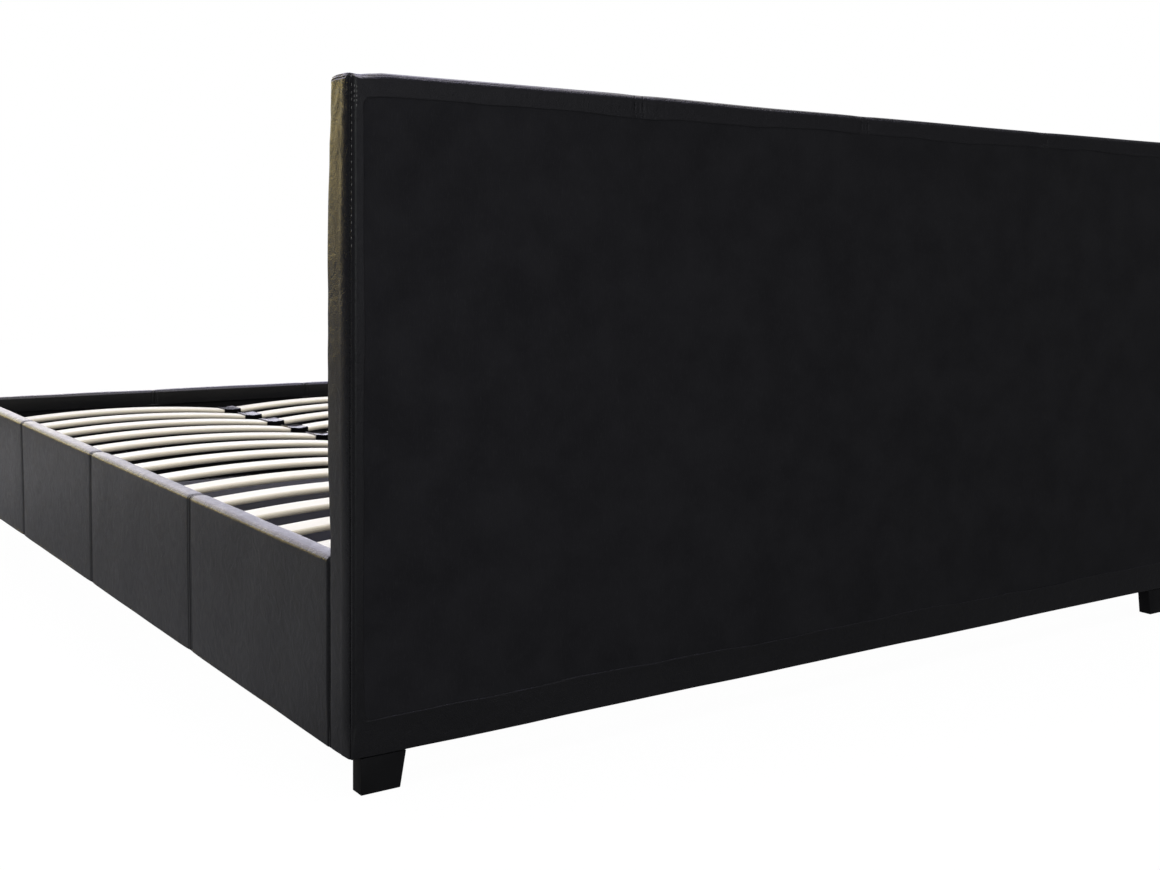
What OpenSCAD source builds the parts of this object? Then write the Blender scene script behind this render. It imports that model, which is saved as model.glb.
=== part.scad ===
// Upholstered platform bed with a padded headboard, leather-covered rails and sprung slats.
// X runs across the bed, Y along it with the headboard at +Y, and Z up from the floor.
// The origin is on the floor at the centre of the footprint. All sizes are millimetres.

/* [Mattress] */
// Width of the mattress
mattress_w = 1600; // [1400:10:1800]
// Length of the mattress
mattress_l = 2000; // [1900:10:2100]
// Room beside the mattress, on each side
side_room = 10; // [5:1:20]
// Room at each end of the mattress
end_room = 14.5; // [10:0.5:20]

/* [Headboard] */
// Height of the headboard above the floor
head_h = 873; // [750:1:1100]
// Depth of the headboard between the rails
head_depth = 60; // [56:1:75]
// How far the front padding stands out above the rails
head_bulge = 8; // [2:1:12]
// Height of the stretch above the rails in which the padding swells
bulge_rise = 150; // [80:5:200]
// How far the front leans back at the top
head_lean = 9; // [3:1:14]
// Start of the lean below the top
lean_start = 200; // [190:5:250]
// Height of the stretch in which the front leans back
lean_rise = 165; // [100:5:180]
// Radius of the padded edges
head_round = 9; // [6:0.5:9]
// Depth of the frame timbers
frame_t = 25; // [22:1:28]
// Width of the two posts
post_w = 60; // [50:1:80]
// Height of the cross rails
cross_h = 60; // [45:1:80]
// Width of the upright studs behind the seams
stud_w = 45; // [30:1:60]
// Thickness of the plywood that carries the front padding
ply_t = 5; // [3:0.5:7]
// Padding over the top and side edges
edge_foam = 8; // [5:1:10]
// Width of the leather turned over the back, at the sides
side_return = 20; // [15:1:30]
// Width of the leather turned over the back, at the top
top_return = 30; // [20:1:40]
// Width of the leather turned over the back, at the bottom
bottom_return = 48; // [35:1:60]
// Thickness of the back cloth
cloth_t = 1; // [0.6:0.1:1.2]

/* [Rails] */
// Height of the side and foot rails
rail_h = 241; // [215:1:280]
// Thickness of the boards in the rails
board_t = 18; // [16:1:22]
// Padding on the outer face of the rails
foam_t = 7; // [4:0.5:10]
// Padding on top of the rails
top_foam = 6; // [4:0.5:8]
// Wadding behind the leather on the inner face
wadding_t = 2; // [1:0.5:3]
// Radius of the padded upper edges of the rails
rail_round = 8; // [5:0.5:9]
// Radius of the lower outer edges of the rails
rail_low_round = 3; // [2:0.5:5]
// Height of the leather turned down inside the rails
lip_h = 38; // [34:1:39]
// Thickness of the leather
leather_t = 1.5; // [1:0.1:2]

/* [Feet] */
// Height of the feet
foot_h = 46; // [35:1:60]
// Width of a foot at its top
foot_w = 61; // [52:1:64]
// How much a foot narrows to the floor
foot_taper = 8; // [3:1:12]
// Depth of the two feet under the headboard
head_foot_d = 24; // [20:1:25]
// Distance of the two feet under the headboard from its sides
head_foot_inset = 17; // [14:1:22]
// Distance of the feet at the foot end from the outer faces
foot_inset = 13; // [11:1:16]

/* [Slats] */
// Width of a slat
slat_w = 53; // [45:1:60]
// Thickness of a slat
slat_t = 10; // [7:0.5:12]
// Rise of a slat from its ends to its middle
slat_camber = 15; // [8:1:20]
// Depth of the slats' crowns below the top of the rails
slat_drop = 26; // [22:1:32]
// Foot rail to the middle of the first slat
first_slat = 154; // [90:1:180]
// Headboard to the middle of the last slat
last_slat = 79.5; // [65:0.5:120]
// Depth of a slat in its end cap
cap_grip = 17; // [14:1:24]
// Wall of the end caps
cap_wall = 2.2; // [1.5:0.1:3]
// Diameter of the stud under a cap
stud_d = 8; // [6:0.5:10]

/* [Supports] */
// Width of the lengthwise beams
beam_w = 40; // [34:1:50]
// Height of the lengthwise beams
beam_h = 30; // [25:1:35]
// Wall of the beams
beam_wall = 1.5; // [1.2:0.1:2.5]
// Width of the battens along the side rails
batten_w = 20; // [18:1:30]
// Height of the battens
batten_h = 30; // [25:1:35]
// Diameter of the legs under the beams
leg_d = 32; // [28:1:38]
// Diameter of the levelling glides
glide_d = 44; // [40:1:56]
// Thread diameter of the levelling glides
thread_d = 10; // [8:1:12]
// Thickness of the steel brackets
steel_t = 3; // [2:0.5:4]

/* [Hidden] */

// Colours
LEATHER = "#2c2c2e";
CLOTH = "#1e1e20";
FOAM = "#d8d3c4";
PINE = "#cfae7c";
BLACK_BOARD = "#19191b";
BIRCH = "#e9dcc0";
MOULDED = "#151516";
BLACK_STEEL = "#222326";
ZINC = "#b9bcc0";

// Shared values
eps = 0.01;          // overlap that keeps a cut clean
past = 1;            // how far a cut runs past a face
clear = 0.3;         // clearance between pieces that slide together
seam_gap = 0.3;      // gap between the headboard and the rails that butt against it
columns = 3;         // columns of slats across the bed
rows = 14;           // rows of slats along the bed
turn_under = 12;     // leather turned under and up inside the rails

// Overall sizes
rail_t = 2 * leather_t + foam_t + board_t + wadding_t;
inner_w = mattress_w + 2 * side_room;
inner_l = mattress_l + 2 * end_room;
bed_w = inner_w + 2 * rail_t;
rail_start = head_depth + seam_gap;
bed_l = rail_start + inner_l + rail_t;
back_y = bed_l / 2;
foot_y = -bed_l / 2;
head_y = back_y - rail_start;
foot_inner_y = foot_y + rail_t;
rail_top = foot_h + rail_h;

// Headboard frame
frame_back = leather_t;
frame_front = frame_back + frame_t;
ply_front = frame_front + ply_t;
frame_half_w = bed_w / 2 - leather_t - edge_foam;
frame_low = foot_h + leather_t;
frame_top = head_h - leather_t - edge_foam;
between_posts = 2 * (frame_half_w - post_w);

// Boards in the rails
board_out = leather_t + foam_t;
board_in = board_out + board_t;
board_x = bed_w / 2 - board_in;
board_low = foot_h + leather_t;
board_top = rail_top - leather_t - top_foam;

// Slats, caps, beams and battens
slat_pitch = (inner_l - first_slat - last_slat) / (rows - 1);
column_w = inner_w / columns;
beam_x = column_w / 2;
end_play = clear + slat_t / 10;
cap_end = cap_wall + end_play;
slat_half = column_w / 2 - cap_end - clear;
slat_r = (slat_half * slat_half + slat_camber * slat_camber) / (2 * slat_camber);
slat_tilt = asin(slat_half / slat_r);
crown_z = rail_top - slat_drop;
slat_end_z = crown_z - slat_camber - slat_t / 2;
cap_foot_h = 2.5;    // block under a cap's sleeve
cap_rise = slat_t / 2 + clear + cap_wall + cap_foot_h;
seat_z = slat_end_z - cap_rise;
cap_half_t = slat_t / 2 + clear + cap_wall;
cap_half_w = slat_w / 2 + clear + cap_wall;
stud_len = 12;
cap_foot_in = 6;     // sides of a cap to the block under it
cap_foot_back = 3;   // open end of a sleeve to the block under it
batten_x = board_x - batten_w / 2;
batten_low = seat_z - batten_h;
beam_low = seat_z - beam_h;

// Steel brackets, bolts and screws
bracket_leg = 50;
bracket_base = 40;   // lower edge of a board to the brackets
bracket_room = 13.5; // top of the brackets to the battens above them
bracket_low = board_low + bracket_base;
bracket_h = batten_low - bracket_room - bracket_low;
bolt_rows = [bracket_low + bracket_h / 4, bracket_low + bracket_h * 3 / 4];
bolt_in = 26;        // side board to the bolts
bolt_x = board_x - bolt_in;
bolt_d = 8;
bolt_hole_d = bolt_d + 2 * clear;
bolt_back = 4;
nut_d = 11;
nut_len = 14;
flange_d = 20;
flange_t = 1.6;
hex_d = 15;          // across the corners of a bolt's head
hex_h = 5.3;
screw_d = 5;
screw_hole_d = screw_d + 2 * clear;
screw_head_d = 10;
screw_head_t = 3;
screw_bite = 14;
screw_tip = 4;       // screw that stands out behind thin steel
tip_room = 1;        // room past a screw's or a bolt's tip in its hole
bracket_screw_y = 30;
hanger_t = 2;
hanger_len = 45;
hanger_ear = 24;
hanger_side = 21;    // height of a stirrup's sides
hanger_screw_x = beam_w / 2 + hanger_t + hanger_ear / 2;
hanger_screw_z = beam_low + beam_h / 2;
hanger_grip = 20;    // long hanger screws in the middle rail
hanger_bite = ply_front + hanger_grip;
batten_screws = 6;

// Feet, corner blocks, legs and glides
foot_bolt_d = 8;
foot_bolt_up = 26;
foot_bolt_down = 30;
block_w = 45;
block_h = 36;
leg_plate_l = 76;
leg_plate_w = 36;
leg_plate_t = 3;
leg_screw_y = 28;
leg_wall = 1.5;
leg_nut_h = 12;
glide_t = 9;
glide_up = 10;       // travel of a glide into its leg
glide_down = 8;      // travel of a glide out of its leg
glide_edge = 2;      // bevel at the foot of a glide
leg_low = glide_t + glide_up + 1;
thread_spare = 24;   // thread left above the nut when a glide is all the way down
thread_len = leg_nut_h + glide_down + thread_spare;

// ---------- shapes ----------

// A box from its lowest corner to its highest
module block(low, high) {
    translate(low) cube([high[0] - low[0], high[1] - low[1], high[2] - low[2]]);
}

// The same piece on the other side of the bed
module on_side(side) {
    if (side < 0) mirror([1, 0, 0]) children();
    else children();
}

module on_both_sides() {
    for (side = [-1, 1]) on_side(side) children();
}

// A rounded rectangle between two corners
module rounded(low, high, r) {
    translate([low[0] + r, low[1]]) square([high[0] - low[0] - 2 * r, high[1] - low[1]]);
    translate([low[0], low[1] + r]) square([high[0] - low[0], high[1] - low[1] - 2 * r]);
    for (x = [low[0] + r, high[0] - r], y = [low[1] + r, high[1] - r])
        translate([x, y]) circle(r = r, $fn = 32);
}

// A rod along X, Y or Z from a point
module rod_x(from, d, len) { translate(from) rotate([0, 90, 0]) cylinder(d = d, h = len, $fn = 32); }
module rod_y(from, d, len) { translate(from) rotate([-90, 0, 0]) cylinder(d = d, h = len, $fn = 32); }
module rod_z(from, d, len) { translate(from) cylinder(d = d, h = len, $fn = 32); }

// A smooth step from 0 to 1
function ease(t) = let (u = max(0, min(1, t))) u * u * (3 - 2 * u);

// Depth of the padded headboard at a height: it swells above the rails and leans back at the top
function head_face(z) =
    head_depth + head_bulge * ease((z - rail_top) / bulge_rise)
    - head_lean * ease((z - head_h + lean_start) / lean_rise);

// The headboard's side outline: depth from the back plane, and height
function head_outline(inset) =
    let (low = foot_h + inset, top = head_h - inset, r = head_round - inset, steps = 24,
         face_top = top - r, face_top_d = head_face(face_top) - inset)
    concat(
        [[inset, low]],
        [for (i = [0:6])
            [head_depth - inset - r + r * sin(15 * i), low + r - r * cos(15 * i)]],
        [for (i = [0:steps])
            let (z = rail_top + (face_top - rail_top) * i / steps)
            [head_face(z) - inset, z]],
        [for (i = [1:6])
            [face_top_d - r + r * cos(15 * i), face_top + r * sin(15 * i)]],
        [for (i = [0:6])
            [inset + r - r * sin(15 * i), face_top + r * cos(15 * i)]]);

// The whole padded headboard, drawn in by an inset
module head_form(inset) {
    intersection() {
        translate([bed_w / 2, back_y, 0]) rotate([90, 0, -90])
            linear_extrude(bed_w) polygon(head_outline(inset));
        linear_extrude(head_h + past) rounded(
            [-bed_w / 2 + inset, back_y - head_depth - head_bulge + inset],
            [bed_w / 2 - inset, back_y - inset], head_round - inset);
    }
}

// A rail's section from its outer face inwards, drawn in by an inset. It is square where
// the leather turns round the lower edge of the board, on the inner side.
module rail_section(inset) {
    rounded([inset, foot_h + inset], [rail_t - inset, rail_top - inset], rail_round - inset);
    rounded([inset, foot_h + inset], [rail_t - inset, foot_h + 2 * rail_round], rail_low_round - inset);
    translate([rail_t - rail_round, foot_h + inset]) square([rail_round - inset, rail_round]);
}

// The right-hand side rail as a padded form, drawn in by an inset
module side_form(inset) {
    intersection() {
        translate([bed_w / 2, head_y - inset, 0]) rotate([90, 0, 0])
            linear_extrude(head_y - foot_y - 2 * inset) mirror([1, 0]) rail_section(inset);
        translate([0, 0, foot_h]) linear_extrude(rail_h) rounded(
            [inner_w / 2 - rail_round, foot_y + inset],
            [bed_w / 2 - inset, head_y + rail_round], rail_round - inset);
    }
}

// The foot rail as a padded form, drawn in by an inset
module foot_form(inset) {
    half = inner_w / 2 - clear - inset;
    translate([-half, foot_y, 0]) rotate([90, 0, 90]) linear_extrude(2 * half) rail_section(inset);
}

// Holes for the long bolts that hold the side rails to the headboard
module headboard_bolt_holes(d) {
    on_both_sides() for (z = bolt_rows)
        rod_y([bolt_x, head_y - past, z], d, head_depth + 2 * past);
}

// Holes for the long screws of the hangers at the headboard
module hanger_screw_holes(d) {
    for (x = [-beam_x, beam_x], side = [-1, 1])
        rod_y([x + side * hanger_screw_x, head_y - past, hanger_screw_z], d, hanger_bite + past);
}

// Holes for the bolts that hold the feet
module foot_bolt_holes() {
    on_both_sides() {
        rod_z([head_foot_bolt()[0], head_foot_bolt()[1], 0], foot_bolt_d + clear, foot_h + foot_bolt_up);
        rod_z([end_foot_bolt()[0], end_foot_bolt()[1], 0], foot_bolt_d + clear, foot_h + foot_bolt_up);
    }
}

function head_foot_bolt() = [bed_w / 2 - head_foot_inset - foot_w / 2, back_y - frame_back - frame_t / 2];
function end_foot_bolt() = [board_x - block_w / 2, foot_inner_y + block_w / 2 - wadding_t];

// ---------- headboard ----------

module headboard_post(side) {
    color(PINE) difference() {
        on_side(side) block(
            [frame_half_w - post_w, back_y - frame_front, frame_low],
            [frame_half_w, back_y - frame_back, frame_top]);
        headboard_bolt_holes(bolt_hole_d);
        on_both_sides() for (z = bolt_rows) {
            rod_y([bolt_x, back_y - frame_back - nut_len, z], nut_d + clear, nut_len + past);
            rod_y([bolt_x, back_y - frame_back - flange_t - clear, z],
                  flange_d + 2 * clear, flange_t + clear + past);
        }
        foot_bolt_holes();
    }
}

module cross_rail(low) {
    block([-between_posts / 2, back_y - frame_front, low],
          [between_posts / 2, back_y - frame_back, low + cross_h]);
}

mid_rail_low = hanger_screw_z - cross_h / 2;

module headboard_top_rail() { color(PINE) cross_rail(frame_top - cross_h); }

module headboard_mid_rail() {
    color(PINE) difference() {
        cross_rail(mid_rail_low);
        hanger_screw_holes(screw_hole_d);
    }
}

module headboard_bottom_rail() { color(PINE) cross_rail(frame_low); }

module headboard_studs() {
    color(PINE) for (x = [-bed_w / 4, 0, bed_w / 4])
        block([x - stud_w / 2, back_y - frame_front, mid_rail_low + cross_h],
              [x + stud_w / 2, back_y - frame_back, frame_top - cross_h]);
}

module headboard_front_board() {
    color(PINE) difference() {
        block([-frame_half_w, back_y - ply_front, frame_low],
              [frame_half_w, back_y - frame_front, frame_top]);
        headboard_bolt_holes(bolt_hole_d);
        hanger_screw_holes(screw_hole_d);
    }
}

module headboard_foam() {
    color(FOAM) difference() {
        head_form(leather_t);
        block([-frame_half_w, back_y - ply_front, 0], [frame_half_w, back_y + past, frame_top]);
        headboard_bolt_holes(bolt_hole_d);
        hanger_screw_holes(screw_hole_d);
    }
}

module headboard_cover() {
    color(LEATHER) difference() {
        head_form(0);
        head_form(leather_t);
        block([-bed_w / 2 + side_return, back_y - leather_t - eps, foot_h + bottom_return],
              [bed_w / 2 - side_return, back_y + past, head_h - top_return]);
        headboard_bolt_holes(bolt_hole_d);
        hanger_screw_holes(screw_hole_d);
        foot_bolt_holes();
    }
}

module headboard_back_cloth() {
    color(CLOTH) block(
        [-bed_w / 2 + side_return, back_y - leather_t, foot_h + bottom_return],
        [bed_w / 2 - side_return, back_y - leather_t + cloth_t, head_h - top_return]);
}

// ---------- side rails ----------

module side_screw_holes() {
    for (z = bolt_rows) {
        rod_x([board_x - past, head_y - bracket_screw_y, z], screw_hole_d, screw_bite + past);
        rod_x([board_x - past, foot_inner_y + bracket_screw_y, z], screw_hole_d, screw_bite + past);
    }
    for (i = [1:batten_screws])
        rod_x([board_x - past, batten_screw_y(i), batten_low + batten_h / 2],
              screw_hole_d, screw_bite + past);
}

// The batten's screws lie halfway between slats, spread along the rail
function batten_screw_y(i) =
    foot_inner_y + first_slat + slat_pitch * (round((i - 0.5) * (rows - 1) / batten_screws) - 0.5);

module side_board(side) {
    color(BLACK_BOARD) on_side(side) difference() {
        block([board_x, foot_y + board_out, board_low], [board_x + board_t, head_y - leather_t, board_top]);
        side_screw_holes();
    }
}

module side_foam(side) {
    color(FOAM) on_side(side) difference() {
        side_form(leather_t);
        block([board_x, foot_y + board_out, 0], [board_x + board_t, head_y + past, board_top]);
        block([inner_w / 2 - past, foot_y - past, 0], [board_x + eps, head_y + past, rail_top - lip_h]);
    }
}

module side_cover(side) {
    color(LEATHER) on_side(side) difference() {
        side_form(0);
        side_form(leather_t);
        block([inner_w / 2 - past, foot_y + board_in, foot_h + turn_under],
              [board_x, head_y + past, rail_top - lip_h]);
        block([inner_w / 2 - past, foot_y - past, 0], [board_x, head_y + past, foot_h + turn_under]);
    }
}

module side_batten(side) {
    color(PINE) on_side(side) difference() {
        block([board_x - batten_w, foot_inner_y + block_w, batten_low],
              [board_x, head_y - bracket_leg / 4, seat_z]);
        for (row = [1:rows])
            rod_z([batten_x, slat_y(row), seat_z - stud_len - past], stud_d + clear, stud_len + 2 * past);
        for (i = [1:batten_screws])
            rod_x([board_x - batten_w - past, batten_screw_y(i), batten_low + batten_h / 2],
                  screw_hole_d, batten_w + 2 * past);
    }
}

// ---------- foot rail ----------

module foot_board() {
    color(BLACK_BOARD) difference() {
        block([-inner_w / 2 + clear + leather_t, foot_y + board_out, board_low],
              [inner_w / 2 - clear - leather_t, foot_y + board_in, board_top]);
        on_both_sides() for (z = bolt_rows)
            rod_y([bolt_x, foot_y + board_in - screw_bite, z], screw_hole_d, screw_bite + past);
        for (x = [-beam_x, beam_x], side = [-1, 1])
            rod_y([x + side * hanger_screw_x, foot_y + board_in - screw_bite, hanger_screw_z],
                  screw_hole_d, screw_bite + past);
    }
}

module foot_foam() {
    half = inner_w / 2;
    color(FOAM) difference() {
        foot_form(leather_t);
        block([-half, foot_y + board_out, 0], [half, foot_y + board_in, board_top]);
        block([-half, foot_y + board_in - eps, 0], [half, foot_inner_y + past, rail_top - lip_h]);
    }
}

module foot_cover() {
    half = inner_w / 2;
    color(LEATHER) difference() {
        foot_form(0);
        foot_form(leather_t);
        block([-half - past, foot_y + board_in, 0], [half + past, foot_inner_y + past, rail_top - lip_h]);
    }
}

// ---------- feet ----------

// A foot's face: straight outside, slanted inside, with its outer lower corner at the origin
module foot_face() {
    polygon([[0, 0], [0, foot_h], [-foot_w, foot_h], [-foot_w + foot_taper, 0]]);
}

module headboard_foot(side) {
    color(MOULDED) difference() {
        on_side(side) translate([bed_w / 2 - head_foot_inset, head_foot_bolt()[1] + head_foot_d / 2, 0])
            rotate([90, 0, 0]) linear_extrude(head_foot_d) foot_face();
        on_side(side) rod_z([head_foot_bolt()[0], head_foot_bolt()[1], foot_h - foot_bolt_down],
            foot_bolt_d + clear, foot_bolt_down + past);
    }
}

// A corner foot narrows on both of its inner sides
module foot_end_foot(side) {
    color(MOULDED) difference() {
        on_side(side) translate([bed_w / 2 - foot_inset, foot_y + foot_inset, 0]) intersection() {
            translate([0, foot_w, 0]) rotate([90, 0, 0]) linear_extrude(foot_w) foot_face();
            translate([-foot_w, 0, 0]) rotate([90, 0, 90]) linear_extrude(foot_w) mirror([1, 0]) foot_face();
        }
        on_side(side) rod_z([end_foot_bolt()[0], end_foot_bolt()[1], foot_h - foot_bolt_down],
            foot_bolt_d + clear, foot_bolt_down + past);
    }
}

module corner_blocks() {
    color(PINE) difference() {
        on_both_sides() block(
            [board_x - block_w, foot_y + board_in, foot_h],
            [board_x, foot_y + board_in + block_w, foot_h + block_h]);
        foot_bolt_holes();
    }
}

// ---------- brackets ----------

// An angle plate in the corner at the origin, with its legs along -X and along the given Y way
module angle_plate(way) {
    y = [min(0, way * bracket_leg), max(0, way * bracket_leg)];
    face = [min(0, way * steel_t), max(0, way * steel_t)];
    block([-steel_t, y[0], 0], [0, y[1], bracket_h]);
    block([-bracket_leg, face[0], 0], [0, face[1], bracket_h]);
}

// The bracket from the headboard's face to the side board
module head_bracket(side) {
    color(BLACK_STEEL) on_side(side) difference() {
        translate([board_x, head_y, bracket_low]) angle_plate(-1);
        for (z = bolt_rows) {
            rod_y([bolt_x, head_y - steel_t - past, z], bolt_hole_d, steel_t + 2 * past);
            rod_x([board_x - steel_t - past, head_y - bracket_screw_y, z], screw_hole_d, steel_t + 2 * past);
        }
    }
}

// The bracket from the foot board to the side board
module corner_bracket(side) {
    color(BLACK_STEEL) on_side(side) difference() {
        translate([board_x, foot_y + board_in, bracket_low]) angle_plate(1);
        for (z = bolt_rows) {
            rod_y([bolt_x, foot_y + board_in - past, z], screw_hole_d, steel_t + 2 * past);
            rod_x([board_x - steel_t - past, foot_inner_y + bracket_screw_y, z],
                  screw_hole_d, steel_t + 2 * past);
        }
    }
}

// ---------- beams ----------

// A stirrup that holds a beam's end, with its back plate on the XZ plane and its floor along +Y
module hanger() {
    half = beam_w / 2 + clear;
    difference() {
        union() {
            block([-half - hanger_t - hanger_ear, 0, -hanger_t],
                  [half + hanger_t + hanger_ear, hanger_t, beam_h]);
            block([-half - hanger_t, 0, -hanger_t], [half + hanger_t, hanger_len, 0]);
            for (side = [-1, 1]) on_side(side)
                block([half, 0, -hanger_t], [half + hanger_t, hanger_len, hanger_side]);
        }
        on_both_sides() rod_y([hanger_screw_x, -past, beam_h / 2], screw_hole_d, hanger_t + 2 * past);
    }
}

module beam_hangers() {
    color(BLACK_STEEL) on_both_sides() {
        translate([beam_x, head_y, beam_low]) mirror([0, 1, 0]) hanger();
        translate([beam_x, foot_y + board_in, beam_low]) hanger();
    }
}

module beam(side) {
    y0 = foot_y + board_in + hanger_t + clear;
    y1 = head_y - hanger_t - clear;
    color(BLACK_STEEL) on_side(side) difference() {
        block([beam_x - beam_w / 2, y0, beam_low], [beam_x + beam_w / 2, y1, seat_z]);
        block([beam_x - beam_w / 2 + beam_wall, y0 - past, beam_low + beam_wall],
              [beam_x + beam_w / 2 - beam_wall, y1 + past, seat_z - beam_wall]);
        for (row = [1:rows])
            rod_z([beam_x, slat_y(row), seat_z - beam_wall - past], stud_d + clear, beam_wall + 2 * past);
        for (y = [-leg_screw_y, leg_screw_y])
            rod_z([beam_x, y, beam_low - past], screw_hole_d, beam_wall + 2 * past);
    }
}

module beam_leg(side) {
    plate_low = beam_low - leg_plate_t;
    color(BLACK_STEEL) on_side(side) translate([beam_x, 0, 0]) difference() {
        union() {
            block([-leg_plate_w / 2, -leg_plate_l / 2, plate_low],
                  [leg_plate_w / 2, leg_plate_l / 2, beam_low]);
            rod_z([0, 0, leg_low], leg_d, plate_low - leg_low);
        }
        rod_z([0, 0, leg_low + leg_nut_h], leg_d - 2 * leg_wall, plate_low - leg_low - leg_nut_h);
        rod_z([0, 0, leg_low - past], thread_d + 2 * clear, leg_nut_h + 2 * past);
        for (y = [-leg_screw_y, leg_screw_y])
            rod_z([0, y, plate_low - past], screw_hole_d, leg_plate_t + 2 * past);
    }
}

// A levelling glide: a moulded disc with a threaded stem that turns in its leg's nut
module glide(side) {
    color(MOULDED) on_side(side) translate([beam_x, 0, 0]) rotate_extrude($fn = 48) polygon([
        [0, 0], [glide_d / 2 - glide_edge, 0], [glide_d / 2, glide_edge],
        [glide_d / 2, glide_t - 1.5 * glide_edge], [thread_d, glide_t], [thread_d / 2, glide_t],
        [thread_d / 2, glide_t + thread_len], [0, glide_t + thread_len]]);
}

// ---------- slats and caps ----------

function slat_y(row) = foot_inner_y + first_slat + slat_pitch * (row - 1);

// One cambered slat, centred on its column
module slat() {
    rotate([90, 0, 0]) linear_extrude(slat_w, center = true) intersection() {
        translate([0, crown_z - slat_r]) difference() {
            circle(r = slat_r, $fn = 720);
            circle(r = slat_r - slat_t, $fn = 720);
        }
        translate([-slat_half, crown_z - slat_camber - 2 * slat_t])
            square([2 * slat_half, slat_camber + 3 * slat_t]);
    }
}

module slat_row(row) {
    color(BIRCH) for (column = [-1, 0, 1])
        translate([column * column_w, slat_y(row), 0]) slat();
}

// The sleeve of a cap on a slat's right-hand end, with the slat's end at the origin
module sleeve() {
    rotate([0, slat_tilt, 0]) block([-cap_grip, -cap_half_w, -cap_half_t], [cap_end, cap_half_w, cap_half_t]);
}

module pocket() {
    rotate([0, slat_tilt, 0]) block(
        [-cap_grip - 2 * cap_wall, -slat_w / 2 - clear, -slat_t / 2 - clear],
        [end_play, slat_w / 2 + clear, slat_t / 2 + clear]);
}

// A cap between the slats and the side batten
module side_cap() {
    end_x = column_w / 2 - cap_end - clear;
    difference() {
        union() {
            translate([end_x, 0, slat_end_z]) sleeve();
            block([end_x - cap_grip + cap_foot_back, -cap_half_w + cap_foot_in, seat_z],
                  [end_x, cap_half_w - cap_foot_in, slat_end_z]);
            rod_z([stud_local_x(), 0, seat_z - stud_len], stud_d, stud_len + past);
        }
        translate([end_x, 0, slat_end_z]) pocket();
    }
}

function stud_local_x() = batten_x - column_w;

// A double cap that joins two columns of slats on a beam
module beam_cap() {
    reach = cap_end + clear;
    difference() {
        union() {
            translate([-reach, 0, slat_end_z]) sleeve();
            mirror([1, 0, 0]) translate([-reach, 0, slat_end_z]) sleeve();
            block([-reach - cap_grip / 2, -cap_half_w + cap_foot_in, seat_z],
                  [reach + cap_grip / 2, cap_half_w - cap_foot_in, slat_end_z]);
            block([-cap_wall, -cap_half_w, slat_end_z - cap_half_t],
                  [cap_wall, cap_half_w, slat_end_z + cap_half_t - past]);
            rod_z([0, 0, seat_z - stud_len], stud_d, stud_len + past);
        }
        translate([-reach, 0, slat_end_z]) pocket();
        mirror([1, 0, 0]) translate([-reach, 0, slat_end_z]) pocket();
    }
}

module side_caps(side) {
    color(MOULDED) on_side(side) for (row = [1:rows])
        translate([column_w, slat_y(row), 0]) side_cap();
}

module beam_caps(side) {
    color(MOULDED) on_side(side) for (row = [1:rows])
        translate([beam_x, slat_y(row), 0]) beam_cap();
}

// ---------- fasteners ----------

// Hexagon bolts through the head brackets into the tee nuts in the posts
module headboard_bolts() {
    head_face_y = head_y - steel_t;
    color(ZINC) on_both_sides() for (z = bolt_rows) {
        rod_y([bolt_x, head_face_y - eps, z], bolt_d, back_y - bolt_back - head_face_y);
        translate([bolt_x, head_face_y, z]) rotate([90, 0, 0]) cylinder(d = hex_d, h = hex_h, $fn = 6);
    }
}

module tee_nuts() {
    post_back = back_y - frame_back;
    color(ZINC) on_both_sides() for (z = bolt_rows) difference() {
        union() {
            rod_y([bolt_x, post_back - nut_len + clear, z], nut_d, nut_len - clear);
            rod_y([bolt_x, post_back - flange_t, z], flange_d, flange_t);
        }
        rod_y([bolt_x, post_back - nut_len - past, z], bolt_d + clear, nut_len + 2 * past);
    }
}

// A pan-head screw along +Y with its head's underside at the origin
module screw(len) {
    rotate([-90, 0, 0]) cylinder(d = screw_d, h = len, $fn = 32);
    rotate([90, 0, 0]) cylinder(d = screw_head_d, h = screw_head_t, $fn = 32);
}

module screws() {
    color(ZINC) on_both_sides() {
        for (z = bolt_rows) {
            for (y = [head_y - bracket_screw_y, foot_inner_y + bracket_screw_y])
                translate([board_x - steel_t, y, z]) rotate([0, 0, -90]) screw(screw_bite);
            translate([bolt_x, foot_y + board_in + steel_t, z]) rotate([0, 0, 180]) screw(screw_bite);
        }
        for (i = [1:batten_screws])
            translate([board_x - batten_w, batten_screw_y(i), batten_low + batten_h / 2])
                rotate([0, 0, -90]) screw(batten_w + screw_bite - tip_room);
        for (end = [-1, 1]) {
            translate([beam_x + end * hanger_screw_x, foot_y + board_in + hanger_t, hanger_screw_z])
                rotate([0, 0, 180]) screw(screw_bite);
            translate([beam_x + end * hanger_screw_x, head_y - hanger_t, hanger_screw_z])
                screw(hanger_bite + hanger_t - tip_room);
            translate([beam_x, end * leg_screw_y, beam_low - leg_plate_t])
                rotate([90, 0, 0]) screw(leg_plate_t + beam_wall + screw_tip);
        }
    }
}

module foot_bolts() {
    color(ZINC) on_both_sides() for (at = [head_foot_bolt(), end_foot_bolt()])
        rod_z([at[0], at[1], foot_h - foot_bolt_down + tip_room], foot_bolt_d,
              foot_bolt_down + foot_bolt_up - 2 * tip_room);
}

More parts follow.
